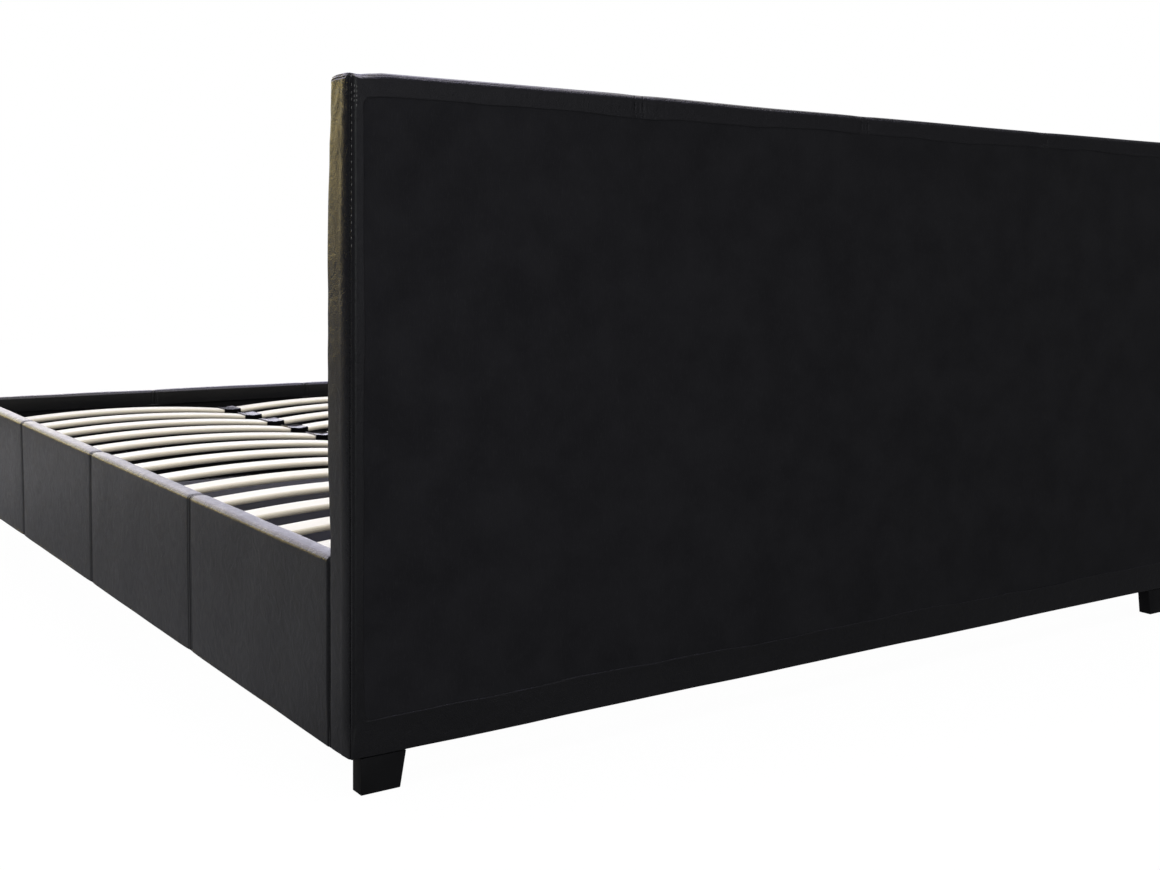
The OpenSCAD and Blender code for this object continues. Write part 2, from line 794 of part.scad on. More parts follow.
headboard_post(-1);  // headboard_post_left
headboard_post(1);  // headboard_post_right
headboard_top_rail();
headboard_mid_rail();
headboard_bottom_rail();
headboard_studs();
headboard_front_board();
headboard_foam();
headboard_cover();
headboard_back_cloth();
side_board(-1);  // side_board_left
side_board(1);  // side_board_right
side_foam(-1);  // side_foam_left
side_foam(1);  // side_foam_right
side_cover(-1);  // side_cover_left
side_cover(1);  // side_cover_right
side_batten(-1);  // side_batten_left
side_batten(1);  // side_batten_right
foot_board();
foot_foam();
foot_cover();
headboard_foot(-1);  // headboard_foot_left
headboard_foot(1);  // headboard_foot_right
foot_end_foot(-1);  // foot_end_foot_left
foot_end_foot(1);  // foot_end_foot_right
corner_blocks();
head_bracket(-1);  // head_bracket_left
head_bracket(1);  // head_bracket_right
corner_bracket(-1);  // corner_bracket_left
corner_bracket(1);  // corner_bracket_right
beam(-1);  // beam_left
beam(1);  // beam_right
beam_hangers();
beam_leg(-1);  // beam_leg_left
beam_leg(1);  // beam_leg_right
glide(-1);  // glide_left
glide(1);  // glide_right
slat_row(1);  // slat_row_01
slat_row(2);  // slat_row_02
slat_row(3);  // slat_row_03
slat_row(4);  // slat_row_04
slat_row(5);  // slat_row_05
slat_row(6);  // slat_row_06
slat_row(7);  // slat_row_07
slat_row(8);  // slat_row_08
slat_row(9);  // slat_row_09
slat_row(10);  // slat_row_10
slat_row(11);  // slat_row_11
slat_row(12);  // slat_row_12
slat_row(13);  // slat_row_13
slat_row(14);  // slat_row_14
side_caps(-1);  // side_caps_left
side_caps(1);  // side_caps_right
beam_caps(-1);  // beam_caps_left
beam_caps(1);  // beam_caps_right
headboard_bolts();
tee_nuts();
screws();
foot_bolts();
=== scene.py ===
"""The finished look of an upholstered platform bed, built round its packed construction.

Everything is in metres in the frame of the construction: X across the bed, +Y towards the
headboard, +Z up.
"""
import math
import random

import bmesh
import bpy
import numpy as np
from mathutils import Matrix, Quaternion, Vector


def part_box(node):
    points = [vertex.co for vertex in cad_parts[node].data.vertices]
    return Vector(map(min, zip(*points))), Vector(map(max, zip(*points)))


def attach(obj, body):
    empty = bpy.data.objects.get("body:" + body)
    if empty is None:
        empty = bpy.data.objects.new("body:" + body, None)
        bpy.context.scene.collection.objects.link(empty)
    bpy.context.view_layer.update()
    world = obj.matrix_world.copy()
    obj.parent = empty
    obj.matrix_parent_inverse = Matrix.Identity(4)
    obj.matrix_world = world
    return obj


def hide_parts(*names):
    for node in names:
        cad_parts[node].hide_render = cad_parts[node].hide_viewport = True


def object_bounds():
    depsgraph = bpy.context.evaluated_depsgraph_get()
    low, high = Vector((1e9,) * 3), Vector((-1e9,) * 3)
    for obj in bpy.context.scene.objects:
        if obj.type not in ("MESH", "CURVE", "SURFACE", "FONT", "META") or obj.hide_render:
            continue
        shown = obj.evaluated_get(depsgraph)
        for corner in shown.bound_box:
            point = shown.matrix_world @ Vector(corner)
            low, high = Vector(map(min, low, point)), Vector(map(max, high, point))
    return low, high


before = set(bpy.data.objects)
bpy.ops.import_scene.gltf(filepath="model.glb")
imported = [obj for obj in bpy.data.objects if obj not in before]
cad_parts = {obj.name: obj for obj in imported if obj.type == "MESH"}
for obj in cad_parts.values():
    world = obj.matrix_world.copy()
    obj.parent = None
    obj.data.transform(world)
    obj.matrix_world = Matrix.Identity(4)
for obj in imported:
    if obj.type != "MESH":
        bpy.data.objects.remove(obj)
cad_low, cad_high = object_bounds()
MM = 0.001

# Sizes that come from the construction
HEAD_LOW, HEAD_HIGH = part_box("headboard_cover")
SIDE_LOW, SIDE_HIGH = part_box("side_cover_right")
FOOT_LOW, FOOT_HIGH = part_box("foot_cover")
CLOTH_LOW, CLOTH_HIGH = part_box("headboard_back_cloth")
ROWS = 14                    # of slats


def placed(name, data):
    """An object for a mesh, a lamp or a camera, put into the scene."""
    made = bpy.data.objects.new(name, data)
    bpy.context.scene.collection.objects.link(made)
    return made


# ---------- camera ----------

LENS = 45.07                 # focal length in millimetres
CAMERA_TO_CORNER = Vector((0.7312, 1.5816))   # from the headboard's near back corner
CAMERA_HEIGHT = 0.6764
LOOK = Vector((-0.5835, -0.8090, -0.0712))
ROLL = math.radians(0.777)
SHIFT = Vector((-0.0431, -0.0769))    # of the lens, as parts of the view's width


def make_camera():
    """Looks past one back corner of the headboard, along the side rail and the slats."""
    data = bpy.data.cameras.new("camera")
    data.lens = LENS
    data.sensor_width = 36
    data.shift_x, data.shift_y = SHIFT
    data.clip_start, data.clip_end = 0.05, 60
    camera = placed("camera", data)
    corner = Vector((HEAD_HIGH.x, HEAD_HIGH.y)) + CAMERA_TO_CORNER
    camera.location = (corner.x, corner.y, CAMERA_HEIGHT)
    turn = LOOK.to_track_quat("-Z", "Y") @ Quaternion((0, 0, 1), ROLL)
    camera.rotation_euler = turn.to_euler()
    bpy.context.scene.camera = camera


make_camera()


# ---------- making materials ----------

def linear(code):
    """The linear colour of an sRGB hex value."""
    parts = [int(code[i:i + 2], 16) / 255 for i in (1, 3, 5)]
    return tuple(c / 12.92 if c <= 0.04045 else ((c + 0.055) / 1.055) ** 2.4 for c in parts) + (1,)


def plug(made, inputs):
    """Gives each named input of a node its value, or the output that it takes."""
    for name, value in inputs.items():
        if isinstance(value, bpy.types.NodeSocket):
            made.id_data.links.new(value, made.inputs[name])
        else:
            made.inputs[name].default_value = value


def node(tree, kind, inputs=None, **settings):
    """Adds a node with its settings and its inputs."""
    made = tree.nodes.new(kind)
    for name, value in settings.items():
        setattr(made, name, value)
    plug(made, inputs or {})
    return made


def new_material(name):
    """An empty material with its tree, its surface shader and its place coordinates."""
    made = bpy.data.materials.new(name)
    made.use_nodes = True
    tree = made.node_tree
    place = tree.nodes.new("ShaderNodeTexCoord").outputs["Object"]
    return made, tree, tree.nodes["Principled BSDF"], place


# Inputs of a colour Mix node, which has several of each name
FACTOR, COLOUR_A, COLOUR_B, COLOUR_OUT = 0, 6, 7, 2

# A pattern's Scale is its features in a metre: 1 / (1.5 * MM) is one every 1.5 mm, 45 one every 22 mm


def pebbled_leather():
    """Polyurethane leather, calendered black on a knitted backing: satin, with a fine pressed pebble
    grain, stretch marks 22 mm apart, and a little more gloss where the edges are rubbed."""
    made, tree, shader, place = new_material("black_pebbled_faux_leather")
    # The pressed grain is 1.0 mm; it is drawn at 1.5 mm, as coarse as it needs to show
    cell = 1.5 * MM
    # Its rows wander by up to 4 mm
    warp = node(tree, "ShaderNodeTexNoise", {"Vector": place, "Scale": 60, "Detail": 3})
    bent = node(tree, "ShaderNodeVectorMath", {0: warp.outputs["Color"], 1: (4 * MM, 4 * MM, 4 * MM)},
                operation="MULTIPLY")
    spot = node(tree, "ShaderNodeVectorMath", {0: place, 1: bent.outputs[0]}, operation="ADD").outputs[0]
    grain = node(tree, "ShaderNodeTexVoronoi", {"Vector": spot, "Scale": 1 / cell, "Smoothness": 0.6},
                 feature="SMOOTH_F1")
    creases = node(tree, "ShaderNodeTexNoise",
                   {"Vector": place, "Scale": 45, "Detail": 6, "Roughness": 0.62, "Distortion": 1.2})
    fine = node(tree, "ShaderNodeTexNoise", {"Vector": place, "Scale": 900, "Detail": 2})
    broad = node(tree, "ShaderNodeTexNoise",
                 {"Vector": place, "Scale": 3.2, "Detail": 4, "Roughness": 0.6})

    tone = node(tree, "ShaderNodeMapRange",
                {"Value": broad.outputs["Fac"], "From Min": 0.32, "From Max": 0.68})
    colour = node(tree, "ShaderNodeMix", {FACTOR: tone.outputs[0], COLOUR_A: linear("#0e0e10"),
                                          COLOUR_B: linear("#131315")}, data_type="RGBA")
    # Painted shade: the pits of the grain are painted darker
    pit_shade = node(tree, "ShaderNodeMapRange",
                {"Value": grain.outputs["Distance"], "From Min": 0.25, "From Max": 0.75, "To Max": 0.55})
    shaded = node(tree, "ShaderNodeMix", {FACTOR: pit_shade.outputs[0], COLOUR_A: colour.outputs[COLOUR_OUT],
                                          COLOUR_B: linear("#09090a")}, data_type="RGBA")

    rubbed = node(tree, "ShaderNodeAttribute", attribute_name="rubbed").outputs["Fac"]
    satin = node(tree, "ShaderNodeMapRange", {"Value": creases.outputs["Fac"], "From Min": 0.3,
                                              "From Max": 0.7, "To Min": 0.29, "To Max": 0.38})
    gloss = node(tree, "ShaderNodeMath", {0: rubbed, 1: -0.08, 2: satin.outputs[0]},
                 operation="MULTIPLY_ADD")

    low = node(tree, "ShaderNodeBump", {"Height": creases.outputs["Fac"], "Distance": 1.6 * MM,
                                        "Strength": 0.5})
    mid = node(tree, "ShaderNodeBump", {"Height": grain.outputs["Distance"], "Distance": 0.22 * MM,
                                        "Strength": 0.8, "Normal": low.outputs[0]}, invert=True)
    top = node(tree, "ShaderNodeBump", {"Height": fine.outputs["Fac"], "Distance": 0.05 * MM,
                                        "Strength": 0.5, "Normal": mid.outputs[0]})
    plug(shader, {"Base Color": shaded.outputs[COLOUR_OUT], "Roughness": gloss.outputs[0], "IOR": 1.5,
                  "Normal": top.outputs[0]})
    return made


def spunbond_cloth():
    """Black spunbond polypropylene, the dust cloth of upholstery: fully matt, dimpled by its bonding
    points, with paler upright fibres clouding it."""
    made, tree, shader, place = new_material("black_spunbond_back_cloth")
    # Bonding points are 1 mm apart; they are drawn 2 mm apart so that they show
    dots = node(tree, "ShaderNodeTexVoronoi", {"Vector": place, "Scale": 1 / (2 * MM), "Randomness": 0.25})
    cloud = node(tree, "ShaderNodeTexNoise",
                 {"Vector": place, "Scale": 14, "Detail": 5, "Roughness": 0.6})
    stretch = node(tree, "ShaderNodeMapping", {"Vector": place, "Scale": (1, 1, 0.18)})
    fibre = node(tree, "ShaderNodeTexNoise",
                 {"Vector": stretch.outputs[0], "Scale": 700, "Detail": 4, "Roughness": 0.7})
    tone = node(tree, "ShaderNodeMapRange",
                {"Value": cloud.outputs["Fac"], "From Min": 0.35, "From Max": 0.65})
    colour = node(tree, "ShaderNodeMix", {FACTOR: tone.outputs[0], COLOUR_A: linear("#161618"),
                                          COLOUR_B: linear("#1b1b1d")}, data_type="RGBA")
    fluff = node(tree, "ShaderNodeMapRange", {"Value": fibre.outputs["Fac"], "From Min": 0.55,
                                              "From Max": 0.8, "To Max": 0.5})
    mixed = node(tree, "ShaderNodeMix", {FACTOR: fluff.outputs[0], COLOUR_A: colour.outputs[COLOUR_OUT],
                                         COLOUR_B: linear("#2a2a2c")}, data_type="RGBA")
    bump = node(tree, "ShaderNodeBump", {"Height": dots.outputs["Distance"], "Distance": 0.15 * MM,
                                         "Strength": 0.6})
    bump = node(tree, "ShaderNodeBump", {"Height": fibre.outputs["Fac"], "Distance": 0.12 * MM,
                                         "Strength": 0.6, "Normal": bump.outputs[0]})
    plug(shader, {"Base Color": mixed.outputs[COLOUR_OUT], "Roughness": 0.95,
                  "Specular IOR Level": 0.1, "Sheen Weight": 0.02, "Normal": bump.outputs[0]})
    return made


def sewing_thread(name, dark, pale):
    """Twisted polyester sewing thread, waxed: glossy, with darker lines between its plies."""
    made, tree, shader, place = new_material(name)
    # The plies turn every 0.7 mm; they are drawn 2.6 mm apart so that they show. At a Scale of 1 the
    # bands are 2 pi / 10 apart.
    twist = node(tree, "ShaderNodeTexWave",
                 {"Vector": place, "Scale": 2 * math.pi / 10 / (2.639 * MM), "Distortion": 1},
                 bands_direction="DIAGONAL")
    colour = node(tree, "ShaderNodeMix", {FACTOR: twist.outputs["Fac"], COLOUR_A: linear(dark),
                                          COLOUR_B: linear(pale)}, data_type="RGBA")
    bump = node(tree, "ShaderNodeBump", {"Height": twist.outputs["Fac"], "Distance": 0.1 * MM})
    plug(shader, {"Base Color": colour.outputs[COLOUR_OUT], "Roughness": 0.3,
                  "Normal": bump.outputs[0]})
    return made


def moulded_birch():
    """Birch veneers glued and pressed into a sprung slat: pale sanded faces with short grain, and the
    edges of the plies with dark glue lines along the sides. The attribute "grain" runs along, across
    and through a slat."""
    made, tree, shader, _ = new_material("moulded_birch_plywood")
    grain = node(tree, "ShaderNodeAttribute", attribute_name="grain").outputs["Vector"]
    parts = node(tree, "ShaderNodeSeparateXYZ", {0: grain})
    long_grain = node(tree, "ShaderNodeMapping", {"Vector": grain, "Scale": (3, 60, 60)})
    streaks = node(tree, "ShaderNodeTexNoise", {"Vector": long_grain.outputs[0], "Scale": 1.0,
                                                "Detail": 6, "Roughness": 0.65, "Distortion": 0.4})
    pore_map = node(tree, "ShaderNodeMapping", {"Vector": grain, "Scale": (60, 900, 900)})
    pores = node(tree, "ShaderNodeTexNoise", {"Vector": pore_map.outputs[0], "Scale": 1.0, "Detail": 3})
    board = node(tree, "ShaderNodeAttribute", attribute_name="board").outputs["Fac"]

    tone = node(tree, "ShaderNodeMapRange", {"Value": streaks.outputs["Fac"], "From Min": 0.3,
                                             "From Max": 0.7})
    face = node(tree, "ShaderNodeMix", {FACTOR: tone.outputs[0], COLOUR_A: linear("#f2efe6"),
                                        COLOUR_B: linear("#faf8f3")}, data_type="RGBA")
    warmer = node(tree, "ShaderNodeMath", {0: board, 1: 0.45}, operation="MULTIPLY")
    each = node(tree, "ShaderNodeMix", {FACTOR: warmer.outputs[0], COLOUR_A: face.outputs[COLOUR_OUT],
                                        COLOUR_B: linear("#f1eadb")}, data_type="RGBA")
    # Seven veneers of 1.4 mm; a glue line closes each one
    veneer = 1.43 * MM
    layer = node(tree, "ShaderNodeMath", {0: parts.outputs["Z"], 1: 2 * math.pi / veneer},
                 operation="MULTIPLY")
    wave = node(tree, "ShaderNodeMath", {0: layer.outputs[0]}, operation="COSINE")
    glue = node(tree, "ShaderNodeMapRange", {"Value": wave.outputs[0], "From Min": 0.6, "From Max": 1.0,
                                             "To Max": 0.6})
    side = node(tree, "ShaderNodeAttribute", attribute_name="side").outputs["Fac"]
    edge = node(tree, "ShaderNodeMath", {0: glue.outputs[0], 1: side}, operation="MULTIPLY")
    tan = node(tree, "ShaderNodeMix", {FACTOR: side, COLOUR_A: each.outputs[COLOUR_OUT],
                                       COLOUR_B: linear("#ebe3cf")}, data_type="RGBA")
    lined = node(tree, "ShaderNodeMix", {FACTOR: edge.outputs[0], COLOUR_A: tan.outputs[COLOUR_OUT],
                                         COLOUR_B: linear("#9c8562")}, data_type="RGBA")
    rough = node(tree, "ShaderNodeMapRange", {"Value": pores.outputs["Fac"], "To Min": 0.42,
                                              "To Max": 0.6})
    bump = node(tree, "ShaderNodeBump", {"Height": pores.outputs["Fac"], "Distance": 0.1 * MM,
                                         "Strength": 0.5})
    bump = node(tree, "ShaderNodeBump", {"Height": wave.outputs[0], "Distance": 0.04 * MM,
                                         "Strength": 0.4, "Normal": bump.outputs[0]})
    plug(shader, {"Base Color": lined.outputs[COLOUR_OUT], "Roughness": rough.outputs[0],
                  "Normal": bump.outputs[0]})
    return made


def sawn_pine(name, pale, dark, along):
    """Planed softwood: wide growth rings cut flat, with dark late wood, lying along the given axis."""
    made, tree, shader, place = new_material(name)
    stretch = [14, 14, 14]
    stretch[along] = 0.8
    grain = node(tree, "ShaderNodeMapping", {"Vector": place, "Scale": stretch})
    # Rings are about 10 mm apart across a board, as in fast-grown timber
    rings = node(tree, "ShaderNodeTexWave", {"Vector": grain.outputs[0], "Scale": 2.2, "Distortion": 5,
                                             "Detail": 3, "Detail Scale": 0.8}, wave_type="RINGS")
    fine_scale = [500, 500, 500]
    fine_scale[along] = 12
    fine = node(tree, "ShaderNodeMapping", {"Vector": place, "Scale": fine_scale})
    fibre = node(tree, "ShaderNodeTexNoise", {"Vector": fine.outputs[0], "Scale": 1.0, "Detail": 3})
    late = node(tree, "ShaderNodeMath", {0: rings.outputs["Fac"], 1: 2.4}, operation="POWER")
    colour = node(tree, "ShaderNodeMix", {FACTOR: late.outputs[0], COLOUR_A: linear(pale),
                                          COLOUR_B: linear(dark)}, data_type="RGBA")
    rough = node(tree, "ShaderNodeMapRange", {"Value": fibre.outputs["Fac"], "To Min": 0.55,
                                              "To Max": 0.75})
    bump = node(tree, "ShaderNodeBump", {"Height": fibre.outputs["Fac"], "Distance": 0.2 * MM,
                                         "Strength": 0.4})
    plug(shader, {"Base Color": colour.outputs[COLOUR_OUT], "Roughness": rough.outputs[0],
                  "Normal": bump.outputs[0]})
    return made


def moulded_plastic(name, gloss):
    """Black polypropylene, injection moulded against a spark-textured tool: an even grain, whose
    roughness lies between the two values of gloss."""
    made, tree, shader, place = new_material(name)
    # Spark texture is 0.2 mm; it is drawn at 0.5 mm so that it shows
    spark = node(tree, "ShaderNodeTexNoise", {"Vector": place, "Scale": 1 / (0.5 * MM), "Detail": 3})
    flow = node(tree, "ShaderNodeTexNoise", {"Vector": place, "Scale": 30, "Detail": 3})
    tone = node(tree, "ShaderNodeMapRange", {"Value": flow.outputs["Fac"], "From Min": 0.35,
                                             "From Max": 0.65})
    colour = node(tree, "ShaderNodeMix", {FACTOR: tone.outputs[0], COLOUR_A: linear("#070708"),
                                          COLOUR_B: linear("#0c0c0d")}, data_type="RGBA")
    rough = node(tree, "ShaderNodeMapRange", {"Value": spark.outputs["Fac"], "To Min": gloss[0],
                                              "To Max": gloss[1]})
    bump = node(tree, "ShaderNodeBump", {"Height": spark.outputs["Fac"], "Distance": 0.06 * MM,
                                         "Strength": 0.7})
    plug(shader, {"Base Color": colour.outputs[COLOUR_OUT], "Roughness": rough.outputs[0], "IOR": 1.49,
                  "Specular IOR Level": 0.3, "Normal": bump.outputs[0]})
    return made


def melamine_board():
    """Particle board faced with black melamine-soaked paper: hard and satin, pressed with a stipple
    of 0.9 mm, with a little dust in it."""
    made, tree, shader, place = new_material("black_melamine_board")
    stipple = node(tree, "ShaderNodeTexVoronoi", {"Vector": place, "Scale": 1 / (0.9 * MM)})
    dust = node(tree, "ShaderNodeTexNoise", {"Vector": place, "Scale": 18, "Detail": 5,
                                             "Roughness": 0.65})
    tone = node(tree, "ShaderNodeMapRange", {"Value": dust.outputs["Fac"], "From Min": 0.35,
                                             "From Max": 0.7})
    colour = node(tree, "ShaderNodeMix", {FACTOR: tone.outputs[0], COLOUR_A: linear("#0a0a0b"),
                                          COLOUR_B: linear("#111112")}, data_type="RGBA")
    rough = node(tree, "ShaderNodeMapRange", {"Value": stipple.outputs["Distance"], "To Min": 0.5,
                                              "To Max": 0.7})
    bump = node(tree, "ShaderNodeBump", {"Height": stipple.outputs["Distance"], "Distance": 0.05 * MM,
                                         "Strength": 0.5})
    plug(shader, {"Base Color": colour.outputs[COLOUR_OUT], "Roughness": rough.outputs[0],
                  "Specular IOR Level": 0.25, "Normal": bump.outputs[0]})
    return made


def powder_coat():
    """Black polyester powder coat on steel: satin, with the orange peel of a baked powder, 1.2 mm
    across, and a little dust."""
    made, tree, shader, place = new_material("black_powder_coat")
    peel = node(tree, "ShaderNodeTexNoise", {"Vector": place, "Scale": 1 / (1.2 * MM), "Detail": 1})
    dust = node(tree, "ShaderNodeTexNoise", {"Vector": place, "Scale": 25, "Detail": 5,
                                             "Roughness": 0.7})
    tone = node(tree, "ShaderNodeMapRange", {"Value": dust.outputs["Fac"], "From Min": 0.4,
                                             "From Max": 0.75})
    colour = node(tree, "ShaderNodeMix", {FACTOR: tone.outputs[0], COLOUR_A: linear("#161618"),
                                          COLOUR_B: linear("#242426")}, data_type="RGBA")
    rough = node(tree, "ShaderNodeMapRange", {"Value": dust.outputs["Fac"], "To Min": 0.55,
                                              "To Max": 0.7})
    bump = node(tree, "ShaderNodeBump", {"Height": peel.outputs["Fac"], "Distance": 0.1 * MM,
                                         "Strength": 0.4})
    plug(shader, {"Base Color": colour.outputs[COLOUR_OUT], "Roughness": rough.outputs[0],
                  "Normal": bump.outputs[0]})
    return made


def zinc_plate():
    """Bright zinc plating on turned and pressed steel: tool marks 0.4 mm apart under a passivation
    that clouds it every 6 mm."""
    made, tree, shader, place = new_material("zinc_plated_steel")
    cloud = node(tree, "ShaderNodeTexNoise", {"Vector": place, "Scale": 160, "Detail": 4})
    marks = node(tree, "ShaderNodeTexNoise", {"Vector": place, "Scale": 2500, "Detail": 2})
    colour = node(tree, "ShaderNodeMix", {FACTOR: cloud.outputs["Fac"], COLOUR_A: linear("#a9adb2"),
                                          COLOUR_B: linear("#d2d3cf")}, data_type="RGBA")
    rough = node(tree, "ShaderNodeMapRange", {"Value": marks.outputs["Fac"], "To Min": 0.25,
                                              "To Max": 0.42})
    bump = node(tree, "ShaderNodeBump", {"Height": marks.outputs["Fac"], "Distance": 0.03 * MM,
                                         "Strength": 0.5})
    plug(shader, {"Base Color": colour.outputs[COLOUR_OUT], "Metallic": 1.0,
                  "Roughness": rough.outputs[0], "Normal": bump.outputs[0]})
    return made


LEATHER = pebbled_leather()
CLOTH = spunbond_cloth()
BLACK_THREAD = sewing_thread("black_polyester_thread", "#161617", "#262628")
# A paler thread, which also gives the corner stitches a painted highlight: it stands in for their glints
# high up
GREY_GLINT_THREAD = sewing_thread("grey_thread_with_painted_glints", "#40403f", "#666562")
BIRCH = moulded_birch()
PINE_ACROSS = sawn_pine("planed_pine_across", "#d9bd8a", "#b98d55", 0)
PINE_ALONG = sawn_pine("planed_pine_along", "#d9bd8a", "#b98d55", 1)
PINE_UPRIGHT = sawn_pine("planed_pine_upright", "#d9bd8a", "#b98d55", 2)
PLYWOOD = sawn_pine("poplar_plywood", "#dcc9a2", "#cbb081", 0)
PLASTIC = moulded_plastic("black_moulded_polypropylene", (0.42, 0.62))
CAP_PLASTIC = moulded_plastic("black_glossy_polypropylene", (0.2, 0.32))
BLACK_BOARD = melamine_board()
POWDER = powder_coat()
ZINC = zinc_plate()


# ---------- making pieces ----------

def dressed(name, mesh, material, body="bed"):
    """A smooth-shaded piece of one material, riding on a body."""
    mesh.materials.clear()
    mesh.materials.append(material)
    mesh.polygons.foreach_set("use_smooth", [True] * len(mesh.polygons))
    made = placed(name, mesh)
    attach(made, body)
    return made


def new_piece(name, points, faces, material):
    """A piece of the bed itself, from points and faces."""
    mesh = bpy.data.meshes.new(name)
    mesh.from_pydata([tuple(p) for p in points], [], faces)
    mesh.update()
    return dressed(name, mesh, material)


def note(piece, name, values, kind="FLOAT"):
    """Keeps a value for each point, for the material to read."""
    kept = piece.data.attributes.new(name, kind, "POINT")
    key = "value" if kind == "FLOAT" else "vector"
    kept.data.foreach_set(key, np.asarray(values, dtype=np.float32).ravel())


def grid_lines(low, high, step, fine=()):
    """Positions from low to high about a step apart, with the fine ones put in among them."""
    count = max(1, round((high - low) / step))
    plain = [low + (high - low) * i / count for i in range(1, count)]
    fine = sorted(set(round(f, 6) for f in fine if low < f < high))
    room = 0.35 * step        # a plain line nearer than this to a fine one is left out
    plain = [p for p in plain if all(abs(p - f) > room for f in fine)]
    end = 0.05 * MM
    return [low] + [p for p in sorted(plain + fine) if low + end < p < high - end] + [high]


def round_lines(radius, turns):
    """Distances from an end at which lines give its round edge steps of the given angles."""
    return [radius * (1 - math.tan(math.radians(turn))) for turn in turns]


def edge_lines(low, high, radius):
    """Lines that give the round edges at both ends even steps, those at the low end first."""
    steps = round_lines(radius, (0, 9, 18, 27, 36))
    return [low + s for s in steps] + [high - s for s in steps]


def beside(place, steps):
    """Lines at distances from a place, given in millimetres."""
    return [place + step * MM for step in steps]


# How far from a seam its lines lie
SEAM_STEPS = [side * s for side in (-1, 1)
              for s in (0, 0.6, 1.2, 2, 3, 4.2, 5.5, 6.5, 7.5, 9, 12, 17, 24)]


def seam_lines(seams):
    """Lines close together beside each seam, where the leather dips."""
    return [line for seam in seams for line in beside(seam, SEAM_STEPS)]


def box_grid(lines):
    """Points and faces all over a box, from its grid lines along X, Y and Z."""
    numbers = {}       # of the points, by their lines
    faces = []
    for axis in range(3):
        # The two sides that face along this axis are ruled along the other two
        b, c = (axis + 1) % 3, (axis + 2) % 3
        for end in (0, len(lines[axis]) - 1):
            for i in range(len(lines[b]) - 1):
                for j in range(len(lines[c]) - 1):
                    face = []
                    for di, dj in ((0, 0), (1, 0), (1, 1), (0, 1)):
                        spot = [0, 0, 0]
                        spot[axis], spot[b], spot[c] = end, i + di, j + dj
                        face.append(numbers.setdefault(tuple(spot), len(numbers)))
                    faces.append(face if end else face[::-1])
    points = np.array([[lines[n][spot[n]] for n in range(3)] for spot in numbers])
    return points, faces


def rounded_form(points, low, high, radius):
    """Where points on a box's surface lie on its rounded form, and their outward directions."""
    radius = np.broadcast_to(radius, len(points))[:, None]
    core = np.clip(points, np.array(low) + radius, np.array(high) - radius)
    out = points - core
    out = out / np.linalg.norm(out, axis=1)[:, None]
    return core + radius * out, out


def bump_of(distance, width):
    """A smooth bump, 1 at no distance."""
    return np.exp(-(distance / width) ** 2)


def smooth_step(value, low, high):
    """0 below low and 1 above high, with a smooth rise between them."""
    t = np.clip((value - low) / (high - low), 0, 1)
    return t * t * (3 - 2 * t)


def fall_off(distance, reach):
    """1 at no distance, falling evenly to 0 at the end of its reach."""
    return np.clip(1 - distance / reach, 0, 1)


def loose_waves(points, size, seed):
    """Slow waves of about the given size over a padded surface, mostly between -1 and 1."""
    draw = random.Random(seed)
    total = np.zeros(len(points))
    waves = 9
    for _ in range(waves):
        way = Vector((draw.gauss(0, 1), draw.gauss(0, 1), draw.gauss(0, 1))).normalized()
        length = size * draw.uniform(0.7, 1.9)
        total += np.sin(points @ np.array(way) * 2 * math.pi / length + draw.uniform(0, 6.28))
    return total / math.sqrt(waves)


STITCH_AT = 6.5 * MM     # seam to each row of topstitching
TOPSTITCH = (6 * MM, 4.4 * MM, 0.8 * MM)   # its pitch, and the length and thickness of a stitch


def seam_depth(distance):
    """How deep the leather lies beside a sewn seam: a tight groove, a dip under each row of stitches,
    and the padding drawn in round them."""
    d = np.abs(distance)
    return (1.9 * MM * bump_of(d, 1.1 * MM) + 0.7 * MM * bump_of(d - STITCH_AT, 1.2 * MM)
            + 1.1 * MM * np.exp(-d / (16 * MM)))


def tube_rows(first, sides, rings):
    """Neighbouring points round a tube, for every ring but the last. The tube's points are numbered
    from first, ring by ring."""
    for ring in range(rings - 1):
        start = first + ring * sides
        for side in range(sides):
            yield start + side, start + (side + 1) % sides


def stitches(name, rows, thread):
    """Sewn thread: each row has points on the leather with their outward directions, and the pitch,
    length and thickness of its stitches. A stitch is a short rounded rod that dives in at both ends."""
    points, faces = [], []
    sides, rings = 6, 5
    draw = random.Random(7)
    for spots, outs, pitch, length, thick in rows:
        steps = np.linalg.norm(np.diff(spots, axis=0), axis=1)
        run = np.concatenate([[0], np.cumsum(steps)])
        for i in range(int(run[-1] / pitch)):
            # No stitch is quite in its place, or quite as long as the last
            mid = (i + 0.5) * pitch + draw.uniform(-0.06, 0.06) * pitch
            reach = length * draw.uniform(0.42, 0.5)
            at = [np.interp([mid - reach, mid, mid + reach], run, spots[:, n]) for n in range(3)]
            start, middle, end = np.array(at).T
            out = np.array([np.interp(mid, run, outs[:, n]) for n in range(3)])
            out /= np.linalg.norm(out)
            across = np.cross((end - start) / np.linalg.norm(end - start), out)
            first = len(points)
            for ring in range(rings):
                t = -1 + 2 * ring / (rings - 1)       # -1 and 1 at the stitch's ends
                lift = thick * (0.35 - 0.75 * t * t)
                size = thick * 0.5 * math.sqrt(max(0.12, 1 - 0.8 * t ** 4))
                centre = middle + (end - start) / 2 * t + out * lift
                for side in range(sides):
                    turn = 2 * math.pi * side / sides
                    points.append(centre + size * (math.cos(turn) * across + math.sin(turn) * out))
            for p, q in tube_rows(first, sides, rings):
                faces.append([p, p + sides, q + sides, q])
            faces.append([first + side for side in range(sides)])
            faces.append([first + (rings - 1) * sides + side for side in range(sides)][::-1])
    new_piece(name, points, faces, thread)


# ---------- headboard ----------

